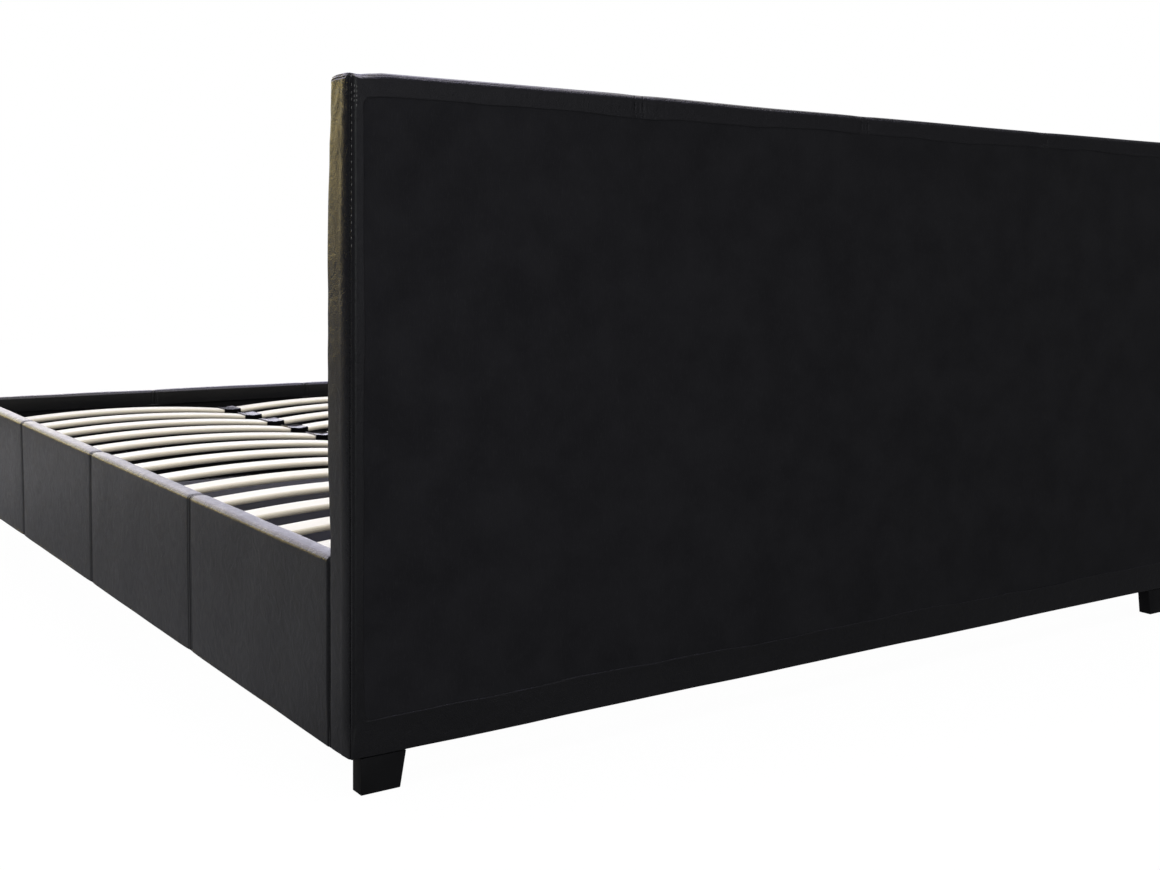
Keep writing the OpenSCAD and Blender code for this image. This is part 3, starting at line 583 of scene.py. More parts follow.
HEAD_DEPTH = HEAD_HIGH.y - HEAD_LOW.y   # where the padding is fullest
BULGE = 8 * MM               # how far the front swells above the rails
BULGE_RISE = 150 * MM        # height that it takes to do so
LEAN = 9 * MM                # how far the front leans back
LEAN_START = 200 * MM        # where that starts below the top
LEAN_RISE = 165 * MM         # height that it takes
HEAD_ROUND = 9 * MM          # radius of the upper and upright edges
LOW_ROUND = 3 * MM           # radius of the lower edges, where the leather turns round timber
BACK_REACH = 26 * MM         # how far forward the rounding of the back corners reaches
HEAD_SEAMS = [HEAD_LOW.x / 2, 0, HEAD_HIGH.x / 2]
BOXING_IN = 6.5 * MM         # edge of the front to the seam of the side panel
RECESS = 1.3 * MM            # back of the leather to the frame that the cloth lies on
FACING = 0.71                # share of a direction from which a point is on that side


def head_depth_at(z):
    """Depth of the padded headboard at a height: it swells above the rails and leans back at the top."""
    rail_top, lean_from = SIDE_HIGH.z, HEAD_HIGH.z - LEAN_START
    return (HEAD_DEPTH - BULGE * (1 - smooth_step(z, rail_top, rail_top + BULGE_RISE))
            - LEAN * smooth_step(z, lean_from, lean_from + LEAN_RISE))


def return_wave(run, seed):
    """How far the hand-turned edge of the leather wanders along its run."""
    return (1.6 * np.sin(run * 11 + seed) + 0.9 * np.sin(run * 29 + 2 * seed)
            + 0.4 * np.sin(run * 71 + 3 * seed)) * MM


def window_edges(x, z):
    """Distance into the window in the back that the cloth fills, with the window's corners rounded."""
    corner = 11 * MM
    low_x = CLOTH_LOW.x + return_wave(z, 1) * 0.5
    high_x = CLOTH_HIGH.x - return_wave(z, 2) * 0.5
    low_z = CLOTH_LOW.z + return_wave(x, 3)
    high_z = CLOTH_HIGH.z - return_wave(x, 4)
    dx = np.minimum(x - low_x, high_x - x)
    dz = np.minimum(z - low_z, high_z - z)
    inside = np.minimum(dx, dz)
    near = (dx < corner) & (dz < corner)
    gap = np.sqrt(np.maximum(corner - dx, 0) ** 2 + np.maximum(corner - dz, 0) ** 2)
    return np.where(near, corner - gap, inside)


def top_drop(x, in_front):
    """How far the top lies below its highest line: it is fullest over the panel at one end, dips
    beside its corners and rolls over towards the front."""
    sag = 2.4 * (1 - smooth_step(x, 0.16, 0.4)) + 1.2 * smooth_step(-x, 0, 0.4)
    dip = 2.0 * bump_of(HEAD_HIGH.x - np.abs(x) - 20 * MM, 15 * MM)
    roll = 3.5 * fall_off(in_front, 30 * MM) ** 2
    return (sag + dip + roll) * MM


def headboard_surface(points):
    """Where points on the headboard's box lie on the finished padding, and their outward directions."""
    points = np.array(points, dtype=float)
    x, y, z = points.T.copy()
    forward, in_front = HEAD_HIGH.y - y, y - HEAD_LOW.y
    in_top, in_side = HEAD_HIGH.z - z, HEAD_HIGH.x - np.abs(x)

    # The back corners are rounded further forward than inward, so the form is made short and drawn out
    reach = HEAD_ROUND + (BACK_REACH - HEAD_ROUND) * (1 - smooth_step(in_side, 12 * MM, 45 * MM))
    short = reach - HEAD_ROUND
    low = np.array(HEAD_LOW) + np.outer(short, (0, 1, 0))
    points[:, 1] = HEAD_HIGH.y - np.where(forward < reach, forward * HEAD_ROUND / reach, forward - short)
    radius = LOW_ROUND + (HEAD_ROUND - LOW_ROUND) * smooth_step(z - HEAD_LOW.z, 12 * MM, 45 * MM)
    place, out = rounded_form(points, low, HEAD_HIGH, radius)
    on_side = np.abs(out[:, 0]) > FACING
    on_back = out[:, 1] > FACING
    on_top = out[:, 2] > FACING

    # Panel seams over the front, the top and the strip turned over the back
    seam = np.min([np.abs(x - s) for s in HEAD_SEAMS], axis=0)
    seamed = (z > CLOTH_HIGH.z - 1 * MM) | ~on_back
    depth = np.where(on_side | ~seamed, 0, seam_depth(seam))

    # The side panel is sewn in along its front and its top, and up the back corner
    border = np.minimum(in_front, in_top) - BOXING_IN
    depth += np.where(on_side, 1.2 * MM * bump_of(border, 1.3 * MM), 0)
    depth += 1.2 * MM * bump_of(forward + in_side, 1.3 * MM)

    # The leather is slack over the front, and drawn tight elsewhere
    slack = 0.55 * MM * (1 + loose_waves(points, 220 * MM, 3))
    depth += slack * np.where(on_back | on_side | on_top, 0.25, 1.0)

    # Leather gathered round the upper corners, and folded over at the back of them
    gather = bump_of(in_top - 30 * MM, 40 * MM) * (on_side & (forward > 10 * MM))
    depth += gather * 0.42 * MM * (1 + loose_waves(points, 22 * MM, 9))
    pleat = bump_of(in_top - 2 * MM - 0.25 * in_side, 1.2 * MM) * (forward < 12 * MM)
    depth += pleat * 1.2 * MM * (1 - smooth_step(in_side, 14 * MM, 21 * MM))
    # Slanting puckers between the hand stitches, 6.5 mm apart
    pucker = bump_of(in_top - 26 * MM, 22 * MM) * bump_of(in_side - 5 * MM, 6 * MM)
    pucker = pucker * (1 + np.sin(z * 2 * math.pi / (6.5 * MM) + x * 500))
    depth += pucker * 0.4 * MM * (forward < 10 * MM)

    # Slow ripples down the sides
    ripple = np.sin(z * 2 * math.pi / (61 * MM) + 1.5 * np.sin(z * 23))
    ripple += np.sin(z * 2 * math.pi / (140 * MM))
    depth += np.where(on_side & (forward > BACK_REACH), 0.15 * MM * (2 + ripple), 0)

    # The window for the cloth
    inside = window_edges(x, z)
    lip = RECESS * smooth_step(inside, -0.2 * MM, 0.6 * MM)
    curl = 0.35 * MM * bump_of(inside + 2.5 * MM, 2 * MM)
    depth += np.where(on_back, lip - curl, 0)

    # The leather never sinks into the frame, which lies close behind its back and its lower edge
    timber = (out[:, 1] > 0.3) | (out[:, 2] < -0.3)
    room = np.where(timber, np.where(in_top < 14 * MM, 0.6 * MM, RECESS), 6 * MM)
    drawn = 1 + (reach / HEAD_ROUND - 1) * np.clip(out[:, 1], 0, 1) ** 2
    place = place - out * (np.clip(depth, 0, room) / drawn)[:, None]

    # Drawn out again, and as deep as it is at its height
    back = HEAD_HIGH.y - place[:, 1]
    back = np.where(back < HEAD_ROUND, back * reach / HEAD_ROUND, back + short)
    place[:, 1] = HEAD_HIGH.y - back * head_depth_at(place[:, 2]) / HEAD_DEPTH
    place[:, 2] -= top_drop(x, in_front) * fall_off(in_top, 40 * MM)
    # The sides are fullest near the front
    narrow = 2.5 * MM * np.clip((in_front - 10 * MM) / (HEAD_DEPTH - 10 * MM), 0, 1) ** 2
    place[:, 0] -= np.sign(x) * narrow * fall_off(in_side, 19 * MM)
    return place, out


def padded_leather(name, place, out, faces, nodes):
    """Padded leather that stands for its cover and its foam, rubbed where it turns a corner."""
    piece = new_piece(name, place, faces, LEATHER)
    note(piece, "rubbed", 1 - np.max(np.abs(out), axis=1) ** 8)
    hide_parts(*nodes)


def make_headboard():
    """The headboard's padded leather, which stands for the foam behind it too."""
    low, high = HEAD_LOW, HEAD_HIGH
    # Lines each side of the window's edges, of the side panel's seam and of the corner stitches, in
    # millimetres
    window_steps = [side * s for s in (0, 0.7, 1.4, 2.1, 2.8, 3.6, 4.5) for side in (-1, 1)]
    boxing_steps = (-2, -1.2, -0.5, 0.5, 1.2, 2)
    corner_steps = (0.5, 1, 1.5, 2.2, 3, 4, 5, 6.5, 8, 9.5, 12, 14)

    fine_x = seam_lines(HEAD_SEAMS) + edge_lines(low.x, high.x, HEAD_ROUND)
    for edge in (CLOTH_LOW.x, CLOTH_HIGH.x):
        fine_x += beside(edge, [s * 0.6 for s in window_steps])
    fine_x += beside(low.x, corner_steps) + beside(high.x, [-s for s in corner_steps])
    fine_y = edge_lines(low.y, high.y, HEAD_ROUND)
    fine_y += beside(low.y + BOXING_IN, (0, *boxing_steps))
    fine_y += beside(high.y, (-0.5, -1, -1.5, -2, -2.7, -3.5))
    fine_y += [high.y - s for s in round_lines(BACK_REACH, (0, 8, 16, 24, 32))]
    fine_z = edge_lines(low.z, high.z, LOW_ROUND)[:5] + edge_lines(low.z, high.z, HEAD_ROUND)[5:]
    for edge in (CLOTH_LOW.z, CLOTH_HIGH.z):
        fine_z += beside(edge, window_steps)
    fine_z += beside(high.z - BOXING_IN, boxing_steps)
    fine_z += beside(high.z, range(-14, -104, -2))
    points, faces = box_grid([grid_lines(low.x, high.x, 15 * MM, fine_x),
                              grid_lines(low.y, high.y, 3 * MM, fine_y),
                              grid_lines(low.z, high.z, 9 * MM, fine_z)])
    place, out = headboard_surface(points)
    padded_leather("headboard_padded_leather", place, out, faces,
                   ["headboard_cover", "headboard_foam"])


def along(start, end, count):
    """Points in a straight line on the headboard's or a rail's box."""
    t = np.linspace(0, 1, count)[:, None]
    return np.array(start) * (1 - t) + np.array(end) * t


def round_corners(corners, counts):
    """Points along the straight lines from corner to corner, with a count for each line."""
    runs = [along(*ends) for ends in zip(corners, corners[1:], counts)]
    return np.concatenate([runs[0]] + [run[1:] for run in runs[1:]])


def make_headboard_stitches():
    """Topstitching beside the panel seams, and the hand stitches that close the top of the seam up
    each back corner, with a short double row beside them."""
    top, back = HEAD_HIGH.z, HEAD_HIGH.y
    rows = []
    for seam in HEAD_SEAMS:
        for side in (-1, 1):
            x = seam + side * STITCH_AT
            path = round_corners([(x, HEAD_LOW.y, HEAD_LOW.z + 8 * MM), (x, HEAD_LOW.y, top),
                                  (x, back, top), (x, back, CLOTH_HIGH.z + 4 * MM)], (160, 40, 20))
            rows.append((*headboard_surface(path), *TOPSTITCH))
    stitches("headboard_topstitching", rows, BLACK_THREAD)
    rows = []
    for side in (-1, 1):
        # Each row's distance in from the side, its ends below the top and its pitch, in millimetres
        for inset, low, high, pitch in ((2.4, 210, 8, 9), (6, 38, 11, 5.5), (9, 44, 14, 5.5)):
            x = side * (HEAD_HIGH.x - inset * MM)
            path = along((x, back, top - low * MM), (x, back, top - high * MM), round((low - high) / 3))
            rows.append((*headboard_surface(path), pitch * MM, 4 * MM, 0.9 * MM))
    # The grey thread here is partly a paler thread and partly a painted highlight for the stitches' glints
    stitches("headboard_corner_stitching", rows, GREY_GLINT_THREAD)


def make_back_cloth():
    """The cloth stretched over the headboard's frame, drawn into faint puckers by the staples round
    its edge, with its edges under the leather."""
    over = 6.0 * MM              # how much of it lies under the leather all round
    thick = 0.5 * MM
    staples = 62 * MM            # from staple to staple
    pull = 50 * MM               # how far in from the edge their puckers fade
    xs = grid_lines(CLOTH_LOW.x - over, CLOTH_HIGH.x + over, 7 * MM)
    zs = grid_lines(CLOTH_LOW.z - over, CLOTH_HIGH.z + over, 7 * MM)
    columns = len(xs)
    flat = np.array([(x, 0, z) for z in zs for x in xs])
    x, z = flat[:, 0], flat[:, 2]
    in_x = np.minimum(x - CLOTH_LOW.x, CLOTH_HIGH.x - x)
    in_z = np.minimum(z - CLOTH_LOW.z, CLOTH_HIGH.z - z)
    rise = 0.20 * MM * (1 + loose_waves(flat, 340 * MM, 11)) / 2
    for inside, place in ((in_z, x), (in_x, z)):
        rise += 0.16 * MM * np.exp(-inside / pull) * (1 + np.cos(place * 2 * math.pi / staples))
    rise *= smooth_step(np.minimum(in_x, in_z), 0, 12 * MM)
    y = HEAD_HIGH.y - RECESS + 0.1 * MM + np.clip(rise, 0, 0.6 * MM)
    outer = np.stack([x, y + thick, z], axis=1)
    inner = np.stack([x, np.full(len(x), HEAD_HIGH.y - RECESS - 0.05 * MM), z], axis=1)
    points = np.concatenate([outer, inner])
    count = len(outer)
    faces = []
    for k in range(len(zs) - 1):
        for i in range(columns - 1):
            a = k * columns + i
            quad = [a, a + columns, a + columns + 1, a + 1]
            faces.append(quad)
            faces.append([q + count for q in quad[::-1]])
    # The edge all round, from point to point
    rim = list(range(columns))
    rim += [k * columns + columns - 1 for k in range(1, len(zs))]
    rim += [(len(zs) - 1) * columns + i for i in range(columns - 2, -1, -1)]
    rim += [k * columns for k in range(len(zs) - 2, 0, -1)]
    for a, b in zip(rim, rim[1:] + rim[:1]):
        faces.append([a, b, b + count, a + count])
    piece = new_piece("headboard_back_cloth_sheet", points, faces, CLOTH)
    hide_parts("headboard_back_cloth")


make_headboard()
make_headboard_stitches()
make_back_cloth()


# ---------- rails ----------

RAIL_ROUND = 8 * MM
LIP = 38 * MM                # height of the leather turned down on the inner face
BOARD_IN = 3.8 * MM          # how far in the padding's form goes where the board shows below that
RAIL_SEAMS = (0.246, 0.502, 0.746)   # along a side rail from the headboard, as shares of its length


def rail_surface(points, low, high, run, inward, seams, seed):
    """Where points on a rail's box lie on its finished padding, and their outward directions. run is
    the axis along the rail, inward the sign and axis of its inner face."""
    sign, across = inward
    p, z = points[:, run], points[:, 2]
    radius = LOW_ROUND + (RAIL_ROUND - LOW_ROUND) * smooth_step(z, low[2] + 20 * MM, low[2] + 80 * MM)
    place, out = rounded_form(points, low, high, radius)
    inner = out[:, across] * sign > FACING
    outer = out[:, across] * sign < -FACING
    seam = np.min([np.abs(p - s) for s in seams], axis=0)
    below_lip = z < high[2] - LIP
    depth = np.where(inner & below_lip, 0, seam_depth(seam))
    slack = np.where(inner | (z < low[2] + 4 * MM), 0.3, 1)
    depth += 0.5 * MM * (1 + loose_waves(points, 160 * MM, seed)) * slack
    # The stitches tug at the outer face
    tug = 0.22 * MM * np.abs(np.sin(p * 2 * math.pi / (24 * MM))) * bump_of(seam, 34 * MM)
    depth += np.where(outer & (high[2] - z >= RAIL_ROUND), tug, 0)
    # Below the lip the board's own face shows, so the padding's form lies just behind it
    edge = high[2] - LIP + return_wave(p, seed) * 0.4
    depth += np.where(inner, BOARD_IN * smooth_step(edge - z, -0.3 * MM, 0.5 * MM), 0)
    place = place - out * np.maximum(depth, 0)[:, None]
    # The top is crowned
    half = (high[across] - low[across]) / 2
    off = (points[:, across] - low[across] - half) / half
    place[:, 2] -= 1.3 * MM * off ** 2 * fall_off(high[2] - z, 20 * MM)
    return place, out


def make_rail(name, low, high, run, inward, seams, seed, nodes):
    """A rail's padded leather, which stands for the foam behind it too, and its topstitching."""
    sign, across = inward
    lip_z = high[2] - LIP
    fine = [None, None, None]
    fine[run] = seam_lines(seams) + edge_lines(low[run], high[run], RAIL_ROUND)
    fine[across] = edge_lines(low[across], high[across], RAIL_ROUND)
    fine[2] = edge_lines(low[2], high[2], RAIL_ROUND) + edge_lines(low[2], high[2], LOW_ROUND)[:5]
    fine[2] += beside(lip_z, (-2.2, -1.6, -1.1, -0.6, -0.1, 0.4, 0.9, 1.4, 2))
    steps = [0, 0, 9 * MM]
    steps[run], steps[across] = 12 * MM, 4 * MM
    points, faces = box_grid([grid_lines(low[n], high[n], steps[n], fine[n]) for n in range(3)])
    place, out = rail_surface(points, low, high, run, inward, seams, seed)
    padded_leather(name, place, out, faces, nodes)

    outer_face, inner_face = (low[across], high[across]) if sign > 0 else (high[across], low[across])
    rows = []
    for seam in seams:
        for side in (-1, 1):
            corners = np.empty((4, 3))
            corners[:, run] = seam + side * STITCH_AT
            corners[:, across] = outer_face, outer_face, inner_face, inner_face
            corners[:, 2] = low[2] + 6 * MM, high[2], high[2], lip_z + 3 * MM
            path = round_corners(corners, (60, 60, 60))
            rows.append((*rail_surface(path, low, high, run, inward, seams, seed), *TOPSTITCH))
    stitches(name + "_stitching", rows, BLACK_THREAD)


def make_rails():
    """The two side rails, whose seams run from the headboard, and the foot rail in equal panels."""
    for side, word in ((-1, "left"), (1, "right")):
        low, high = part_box("side_cover_" + word)
        seams = [SIDE_HIGH.y - share * (SIDE_HIGH.y - SIDE_LOW.y) for share in RAIL_SEAMS]
        make_rail(f"side_rail_{word}_padded_leather", list(low), list(high), 1, (-side, 0), seams,
                  20 + side, [f"side_cover_{word}", f"side_foam_{word}"])
    half = FOOT_HIGH.x
    make_rail("foot_rail_padded_leather", list(FOOT_LOW), list(FOOT_HIGH), 0, (1, 1),
              [-half / 2, 0, half / 2], 31, ["foot_cover", "foot_foam"])


make_rails()


# ---------- slats ----------

CAMBER = 15 * MM
SLAT_THICK = 10 * MM
SLAT_EDGE = 4.9 * MM         # radius of a slat's long edges
COLUMN = (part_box("side_board_right")[0].x - 3.5 * MM) * 2 / 3   # middle to middle of two columns


def slat_section(width):
    """A slat's section: its corner arcs, as distances across and through it."""
    spots = []
    for cx, cz, start in ((1, 1, 0), (-1, 1, 90), (-1, -1, 180), (1, -1, 270)):
        for turn in range(0, 91, 18):
            angle = math.radians(start + turn)
            spots.append((cx * (width / 2 - SLAT_EDGE) + SLAT_EDGE * math.cos(angle),
                          cz * (SLAT_THICK / 2 - SLAT_EDGE) + SLAT_EDGE * math.sin(angle)))
    return spots


def column_reach(mesh):
    """Half the length of a slat, from the middle one of a row."""
    return max(v.co.x for v in mesh.vertices if abs(v.co.x) < COLUMN / 2)


def make_slats():
    """Each row of three sprung slats, cambered over its own radius."""
    stations = 44
    for row in range(1, ROWS + 1):
        name = f"slat_row_{row:02d}"
        low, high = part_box(name)
        width, middle_y = high.y - low.y, (low.y + high.y) / 2
        reach = column_reach(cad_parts[name].data)
        radius = (reach ** 2 + CAMBER ** 2) / (2 * CAMBER)
        tilt = math.asin(reach / radius)
        section = slat_section(width)
        # 0 on the faces and 1 where the plies' edges show
        section_side = [smooth_step(abs(across), width / 2 - SLAT_EDGE, width / 2 - 0.5 * MM)
                        for across, _ in section]
        points, faces, grain, sides, board = [], [], [], [], []
        draw = random.Random(100 + row)
        for column in (-1, 0, 1):
            shift = draw.uniform(0, 50)     # each slat shows another part of the veneer
            shade = draw.uniform(0, 1)
            first = len(points)
            for station in range(stations + 1):
                turn = tilt * (2 * station / stations - 1)
                for across, through in section:
                    r = radius - SLAT_THICK / 2 + through
                    points.append((column * COLUMN + r * math.sin(turn), middle_y + across,
                                   high.z - radius + r * math.cos(turn)))
                    grain.append((radius * turn + shift, across + shift, through))
                sides += section_side
                board += [shade] * len(section)
            size = len(section)
            for a, b in tube_rows(first, size, stations + 1):
                faces.append([a, b, b + size, a + size])
            faces.append([first + i for i in range(size)][::-1])
            faces.append([first + stations * size + i for i in range(size)])
        piece = new_piece(f"sprung_{name}", points, faces, BIRCH)
        note(piece, "grain", grain, "FLOAT_VECTOR")
        note(piece, "side", sides)
        note(piece, "board", board)
        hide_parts(name)


make_slats()


# ---------- rigid pieces ----------

def eased(cad_name, width, segments, material):
    """A moulded piece of the construction, with its edges broken as the real one's are."""
    shape = bmesh.new()
    shape.from_mesh(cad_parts[cad_name].data)
    bmesh.ops.remove_doubles(shape, verts=shape.verts, dist=0.01 * MM)
    bmesh.ops.dissolve_limit(shape, angle_limit=math.radians(1), verts=shape.verts, edges=shape.edges)
    sharp = [e for e in shape.edges if len(e.link_faces) == 2
             and e.calc_face_angle(0) > math.radians(25)]
    bmesh.ops.bevel(shape, geom=sharp, offset=width, offset_type="OFFSET", segments=segments,
                    profile=0.5, affect="EDGES", clamp_overlap=True)
    mesh = bpy.data.meshes.new(cad_name + "_eased")
    shape.to_mesh(mesh)
    shape.free()
    body = cad_name if cad_name.startswith("glide") else "bed"
    piece = dressed(cad_name + "_eased", mesh, material, body)
    mesh.set_sharp_from_angle(angle=math.radians(32))
    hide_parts(cad_name)


# Width of the broken edges, and the steps that round them
MOULDED = [
    (1.2 * MM, 3, PLASTIC, ["headboard_foot_left", "headboard_foot_right", "foot_end_foot_left",
                            "foot_end_foot_right"]),
    (0.7 * MM, 2, CAP_PLASTIC, ["side_caps_left", "side_caps_right", "beam_caps_left",
                                "beam_caps_right"]),
    (0.5 * MM, 2, PLASTIC, ["glide_left", "glide_right"]),
]
for width, segments, material, names in MOULDED:
    for name in names:
        eased(name, width, segments, material)

# Pieces that stay as they are built, with their finish
FINISHES = [
    (PINE_UPRIGHT, ["headboard_post_left", "headboard_post_right", "headboard_studs", "corner_blocks"]),
    (PINE_ACROSS, ["headboard_top_rail", "headboard_mid_rail", "headboard_bottom_rail"]),
    (PINE_ALONG, ["side_batten_left", "side_batten_right"]),
    (BLACK_BOARD, ["side_board_left", "side_board_right", "foot_board"]),
    (PLYWOOD, ["headboard_front_board"]),
    (POWDER, ["head_bracket_left", "head_bracket_right", "corner_bracket_left", "corner_bracket_right",
              "beam_left", "beam_right", "beam_hangers", "beam_leg_left", "beam_leg_right"]),
    (ZINC, ["headboard_bolts", "tee_nuts", "screws", "foot_bolts"]),
]
for material, names in FINISHES:
    for name in names:
        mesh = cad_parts[name].data
        mesh.materials.clear()
        mesh.materials.append(material)


# ---------- floor, light and surroundings ----------

FLOOR_SIZE = 14              # a side of the square floor


def make_floor():
    """A pale floor that stays white to the eye round the bed, keeps a faint shadow of it, and is painted
    dark under it: a painted shadow."""
    made, tree, shader, place = new_material("pale_floor")
    spot = node(tree, "ShaderNodeSeparateXYZ", {0: place}).outputs

    # Where the painted shadow under the bed starts and where it is full, from each side. It reaches past
    # the foot end, where it is seen between the slats and under the foot rail.
    side, end = cad_high.x, cad_high.y
    painted_shadow = 1.0
    for axis, start, full in (("X", side - 0.055, side - 0.1), ("X", -0.12 - side, 0.02 - side),
                              ("Y", end - 0.118, end - 0.16), ("Y", -0.38 - end, -0.22 - end)):
        edge = node(tree, "ShaderNodeMapRange", {"Value": spot[axis], "From Min": start,
                                                 "From Max": full}, interpolation_type="SMOOTHSTEP")
        painted_shadow = node(tree, "ShaderNodeMath", {0: edge.outputs[0], 1: painted_shadow},
                     operation="MULTIPLY").outputs[0]
    # Painted shadow: the floor's colour is painted dark under the bed and past its foot end
    colour = node(tree, "ShaderNodeMix", {FACTOR: painted_shadow, COLOUR_A: linear("#a3a3a5"),
                                          COLOUR_B: linear("#2c2c36")}, data_type="RGBA")
    plug(shader, {"Base Color": colour.outputs[COLOUR_OUT], "Roughness": 0.9})

    # The eye sees it white, with a tenth of the light and shadow that fall on it
    path = node(tree, "ShaderNodeLightPath").outputs
    white = node(tree, "ShaderNodeEmission", {"Color": (1, 1, 1, 1), "Strength": 1.08})
    lit = node(tree, "ShaderNodeMapRange", {"Value": painted_shadow, "To Min": 0.9, "To Max": 0})
    seen = node(tree, "ShaderNodeMath", {0: path["Is Camera Ray"], 1: lit.outputs[0]},
                operation="MULTIPLY")
    mixed = node(tree, "ShaderNodeMixShader", {0: seen.outputs[0], 1: shader.outputs[0],
                                               2: white.outputs[0]})

    # What gloss shows of it: dim behind the headboard, brighter towards the foot end, and dim again
    # far beyond it and to one side
    glow = 0.09
    for start, full, rise in ((1.3, 0.4, 0.17), (-0.5, -2.2, 0.2), (-2.4, -3.4, -0.28)):
        change = node(tree, "ShaderNodeMapRange", {"Value": spot["Y"], "From Min": start,
                                                   "From Max": full, "To Max": rise},
                      interpolation_type="SMOOTHSTEP")
        glow = node(tree, "ShaderNodeMath", {0: change.outputs[0], 1: glow}).outputs[0]
    aside = node(tree, "ShaderNodeMapRange", {"Value": spot["X"], "From Min": 2.2, "From Max": 4.0,
                                              "To Min": 1, "To Max": 0.2},
                 interpolation_type="SMOOTHSTEP")
    glow = node(tree, "ShaderNodeMath", {0: aside.outputs[0], 1: glow}, operation="MULTIPLY")
    dim = node(tree, "ShaderNodeEmission", {"Color": linear("#f8f8ff"), "Strength": glow.outputs[0]})
    open_floor = node(tree, "ShaderNodeMapRange", {"Value": painted_shadow, "To Min": 1, "To Max": 0})
    mirrored = node(tree, "ShaderNodeMath", {0: path["Is Glossy Ray"], 1: open_floor.outputs[0]},
                    operation="MULTIPLY")
    final = node(tree, "ShaderNodeMixShader", {0: mirrored.outputs[0], 1: mixed.outputs[0],
                                               2: dim.outputs[0]})
    plug(tree.nodes["Material Output"], {"Surface": final.outputs[0]})

    mesh = bpy.data.meshes.new("floor")
    half = FLOOR_SIZE / 2
    corners = [(-half, -half, 0), (half, -half, 0), (half, half, 0), (-half, half, 0)]
    mesh.from_pydata(corners, [], [(0, 1, 2, 3)])
    mesh.materials.append(made)
    placed("floor", mesh)


# Fades of the studio: the axis, the middle of the fade, and half its length, below 0 where it falls
AHEAD = ("Y", -0.2, -0.4)    # beyond the foot of the bed
BEHIND = ("Y", 0.15, 0.35)   # on the headboard's side
OVERHEAD = ("Z", 0.5, 0.1)   # everywhere above


def light_patch(tree, way, colour, level, x_range, z_range, x_soft=0.07, z_soft=0.04, half=AHEAD):
    """Light of a colour over a range of directions of one half of the studio, with soft edges."""
    strength = level
    for axis, middle, soft in (("X", x_range[0], x_soft), ("X", x_range[1], -x_soft),
                               ("Z", z_range[0], z_soft), ("Z", z_range[1], -z_soft), half):
        fade = node(tree, "ShaderNodeMapRange", {"Value": way[axis], "From Min": middle - soft,
                                                 "From Max": middle + soft},
                    interpolation_type="SMOOTHSTEP")
        strength = node(tree, "ShaderNodeMath", {0: fade.outputs[0], 1: strength},
                        operation="MULTIPLY").outputs[0]
    return node(tree, "ShaderNodeBackground", {"Color": linear(colour), "Strength": strength})


# Each patch's colour, level, range across and range upwards, as parts of a direction. Where they
# aren't the usual ones, its softness both ways and its part of the studio follow.
PATCHES = [
    ("#f4f3ff", 0.3, (-1.2, 0.55), (-1, 1.2)),              # the far wall
    ("#eeedff", 2.3, (-0.54, -0.1), (0.08, 0.3), 0.04),     # a band over the horizon
    ("#f1ecff", 1.0, (-0.54, -0.36), (0.05, 0.25), 0.04),   # brighter at one end
    ("#f6f3ee", 1.7, (-0.29, -0.02), (0.04, 0.16)),         # brighter low down
    ("#f4f2f6", 1.8, (-0.54, -0.4), (-0.03, 0.08), 0.04),   # and on the horizon, at one side
    ("#e9e2f6", 2.6, (-0.3, 0.42), (0.3, 0.6)),             # a high window
    ("#dcd9ff", 1.2, (-0.53, -0.34), (0.36, 0.72), 0.04),   # a tall one beside it
    ("#cfcaff", 2.6, (-0.53, -0.34), (0.72, 1.1), 0.04, 0.1, OVERHEAD),   # which goes on overhead
    ("#fff4dc", 3.0, (-0.12, 0.16), (0.18, 0.3)),           # warm light under the high window
    ("#ffdc6a", 9.5, (0.28, 0.41), (0.06, 0.14), 0.07, 0.05),   # a golden reflector
    ("#f5eab8", 2.6, (-0.3, 0.24), (0.04, 0.14)),           # a paler one beside it
    ("#cfc993", 1.0, (0.12, 0.45), (0.14, 0.3)),            # its glow above it
    ("#f4f3ff", 0.12, (-0.62, 1.2), (-1, 1.2), 0.07, 0.04, BEHIND),   # behind: a dim wall
    ("#f4f3ff", 0.8, (-0.46, -0.2), (-0.04, 0.12), 0.07, 0.04, BEHIND),   # a paler part of it
    ("#e6efe8", 0.8, (0.0, 0.72), (-0.3, 0.5), 0.07, 0.04, BEHIND),   # and one round the corner
]


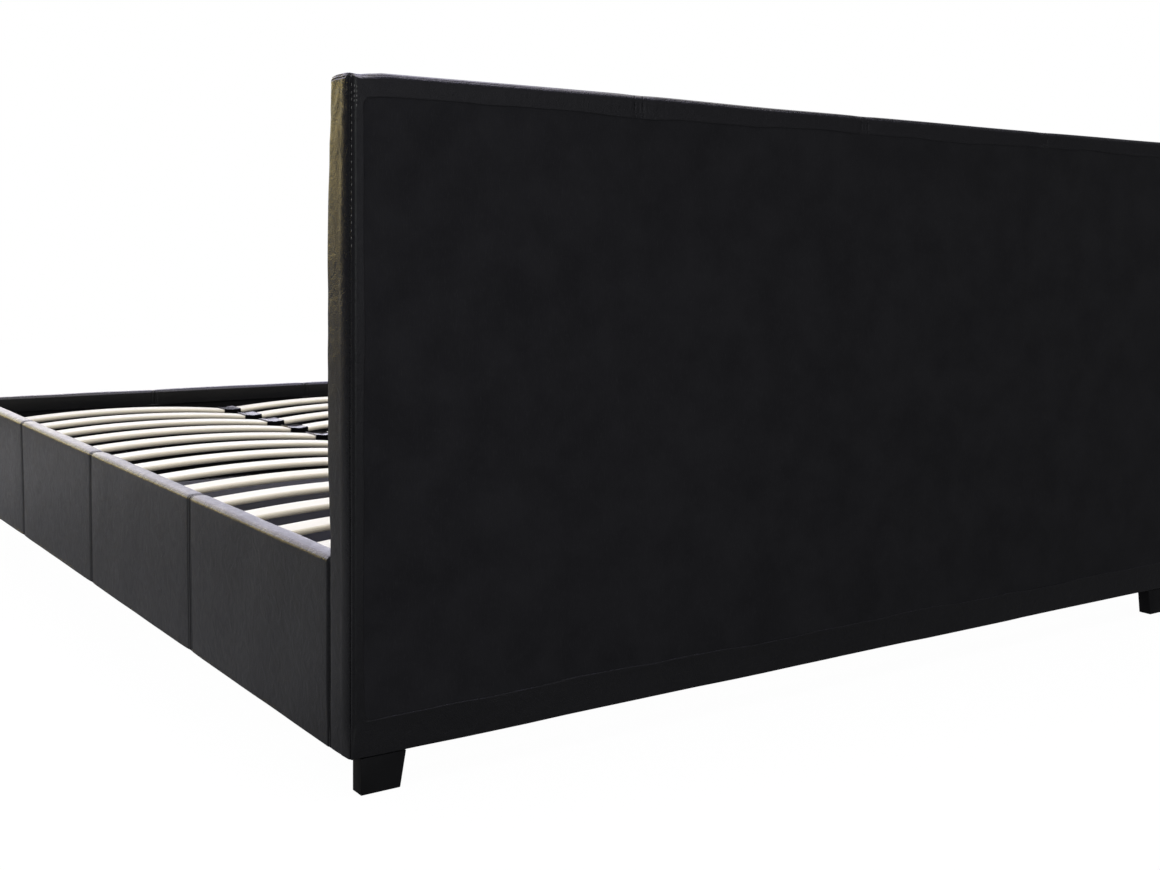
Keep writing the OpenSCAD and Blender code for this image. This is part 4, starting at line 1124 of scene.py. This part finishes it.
def make_world():
    """White to the eye, even light on the pieces, and a studio for their gloss: dim walls with soft
    patches of light beyond the foot of the bed."""
    world = bpy.data.worlds.new("studio")
    world.use_nodes = True
    bpy.context.scene.world = world
    tree = world.node_tree
    tree.nodes.clear()
    way = node(tree, "ShaderNodeSeparateXYZ",
               {0: node(tree, "ShaderNodeTexCoord").outputs["Generated"]}).outputs
    gloss = node(tree, "ShaderNodeBackground", {"Color": linear("#f4f3ff"), "Strength": 0.1})
    for patch in PATCHES:
        more = light_patch(tree, way, *patch)
        gloss = node(tree, "ShaderNodeAddShader", {0: gloss.outputs[0], 1: more.outputs[0]})
    even = node(tree, "ShaderNodeBackground", {"Color": linear("#f6f7fa"), "Strength": 0.75})
    white = node(tree, "ShaderNodeBackground", {"Color": (1, 1, 1, 1), "Strength": 1.0})
    path = node(tree, "ShaderNodeLightPath").outputs
    lit = node(tree, "ShaderNodeMixShader", {0: path["Is Glossy Ray"], 1: even.outputs[0],
                                             2: gloss.outputs[0]})
    seen = node(tree, "ShaderNodeMixShader", {0: path["Is Camera Ray"], 1: lit.outputs[0],
                                              2: white.outputs[0]})
    node(tree, "ShaderNodeOutputWorld", {"Surface": seen.outputs[0]})


def softbox(name, place, target, size, power, colour, mirrored=True):
    """A rectangular studio light that isn't seen itself, and may be kept out of the gloss."""
    data = bpy.data.lights.new(name, "AREA")
    data.shape = "RECTANGLE"
    data.size, data.size_y = size
    data.energy = power
    data.color = linear(colour)[:3]
    lamp = placed(name, data)
    lamp.location = place
    lamp.rotation_euler = (Vector(target) - Vector(place)).to_track_quat("-Z", "Y").to_euler()
    lamp.visible_camera = False
    lamp.visible_glossy = mirrored


make_floor()
make_world()
softbox("fill", (1.6, 2.4, 1.0), (0.6, 1.06, 0.55), (0.8, 0.8), 12, "#fafaff", mirrored=False)
softbox("overhead", (-0.4, 0.3, 3.6), (0, 0.1, 0.2), (3.2, 3.2), 60, "#fffaf2")
bpy.context.scene.view_settings.view_transform = "Standard"
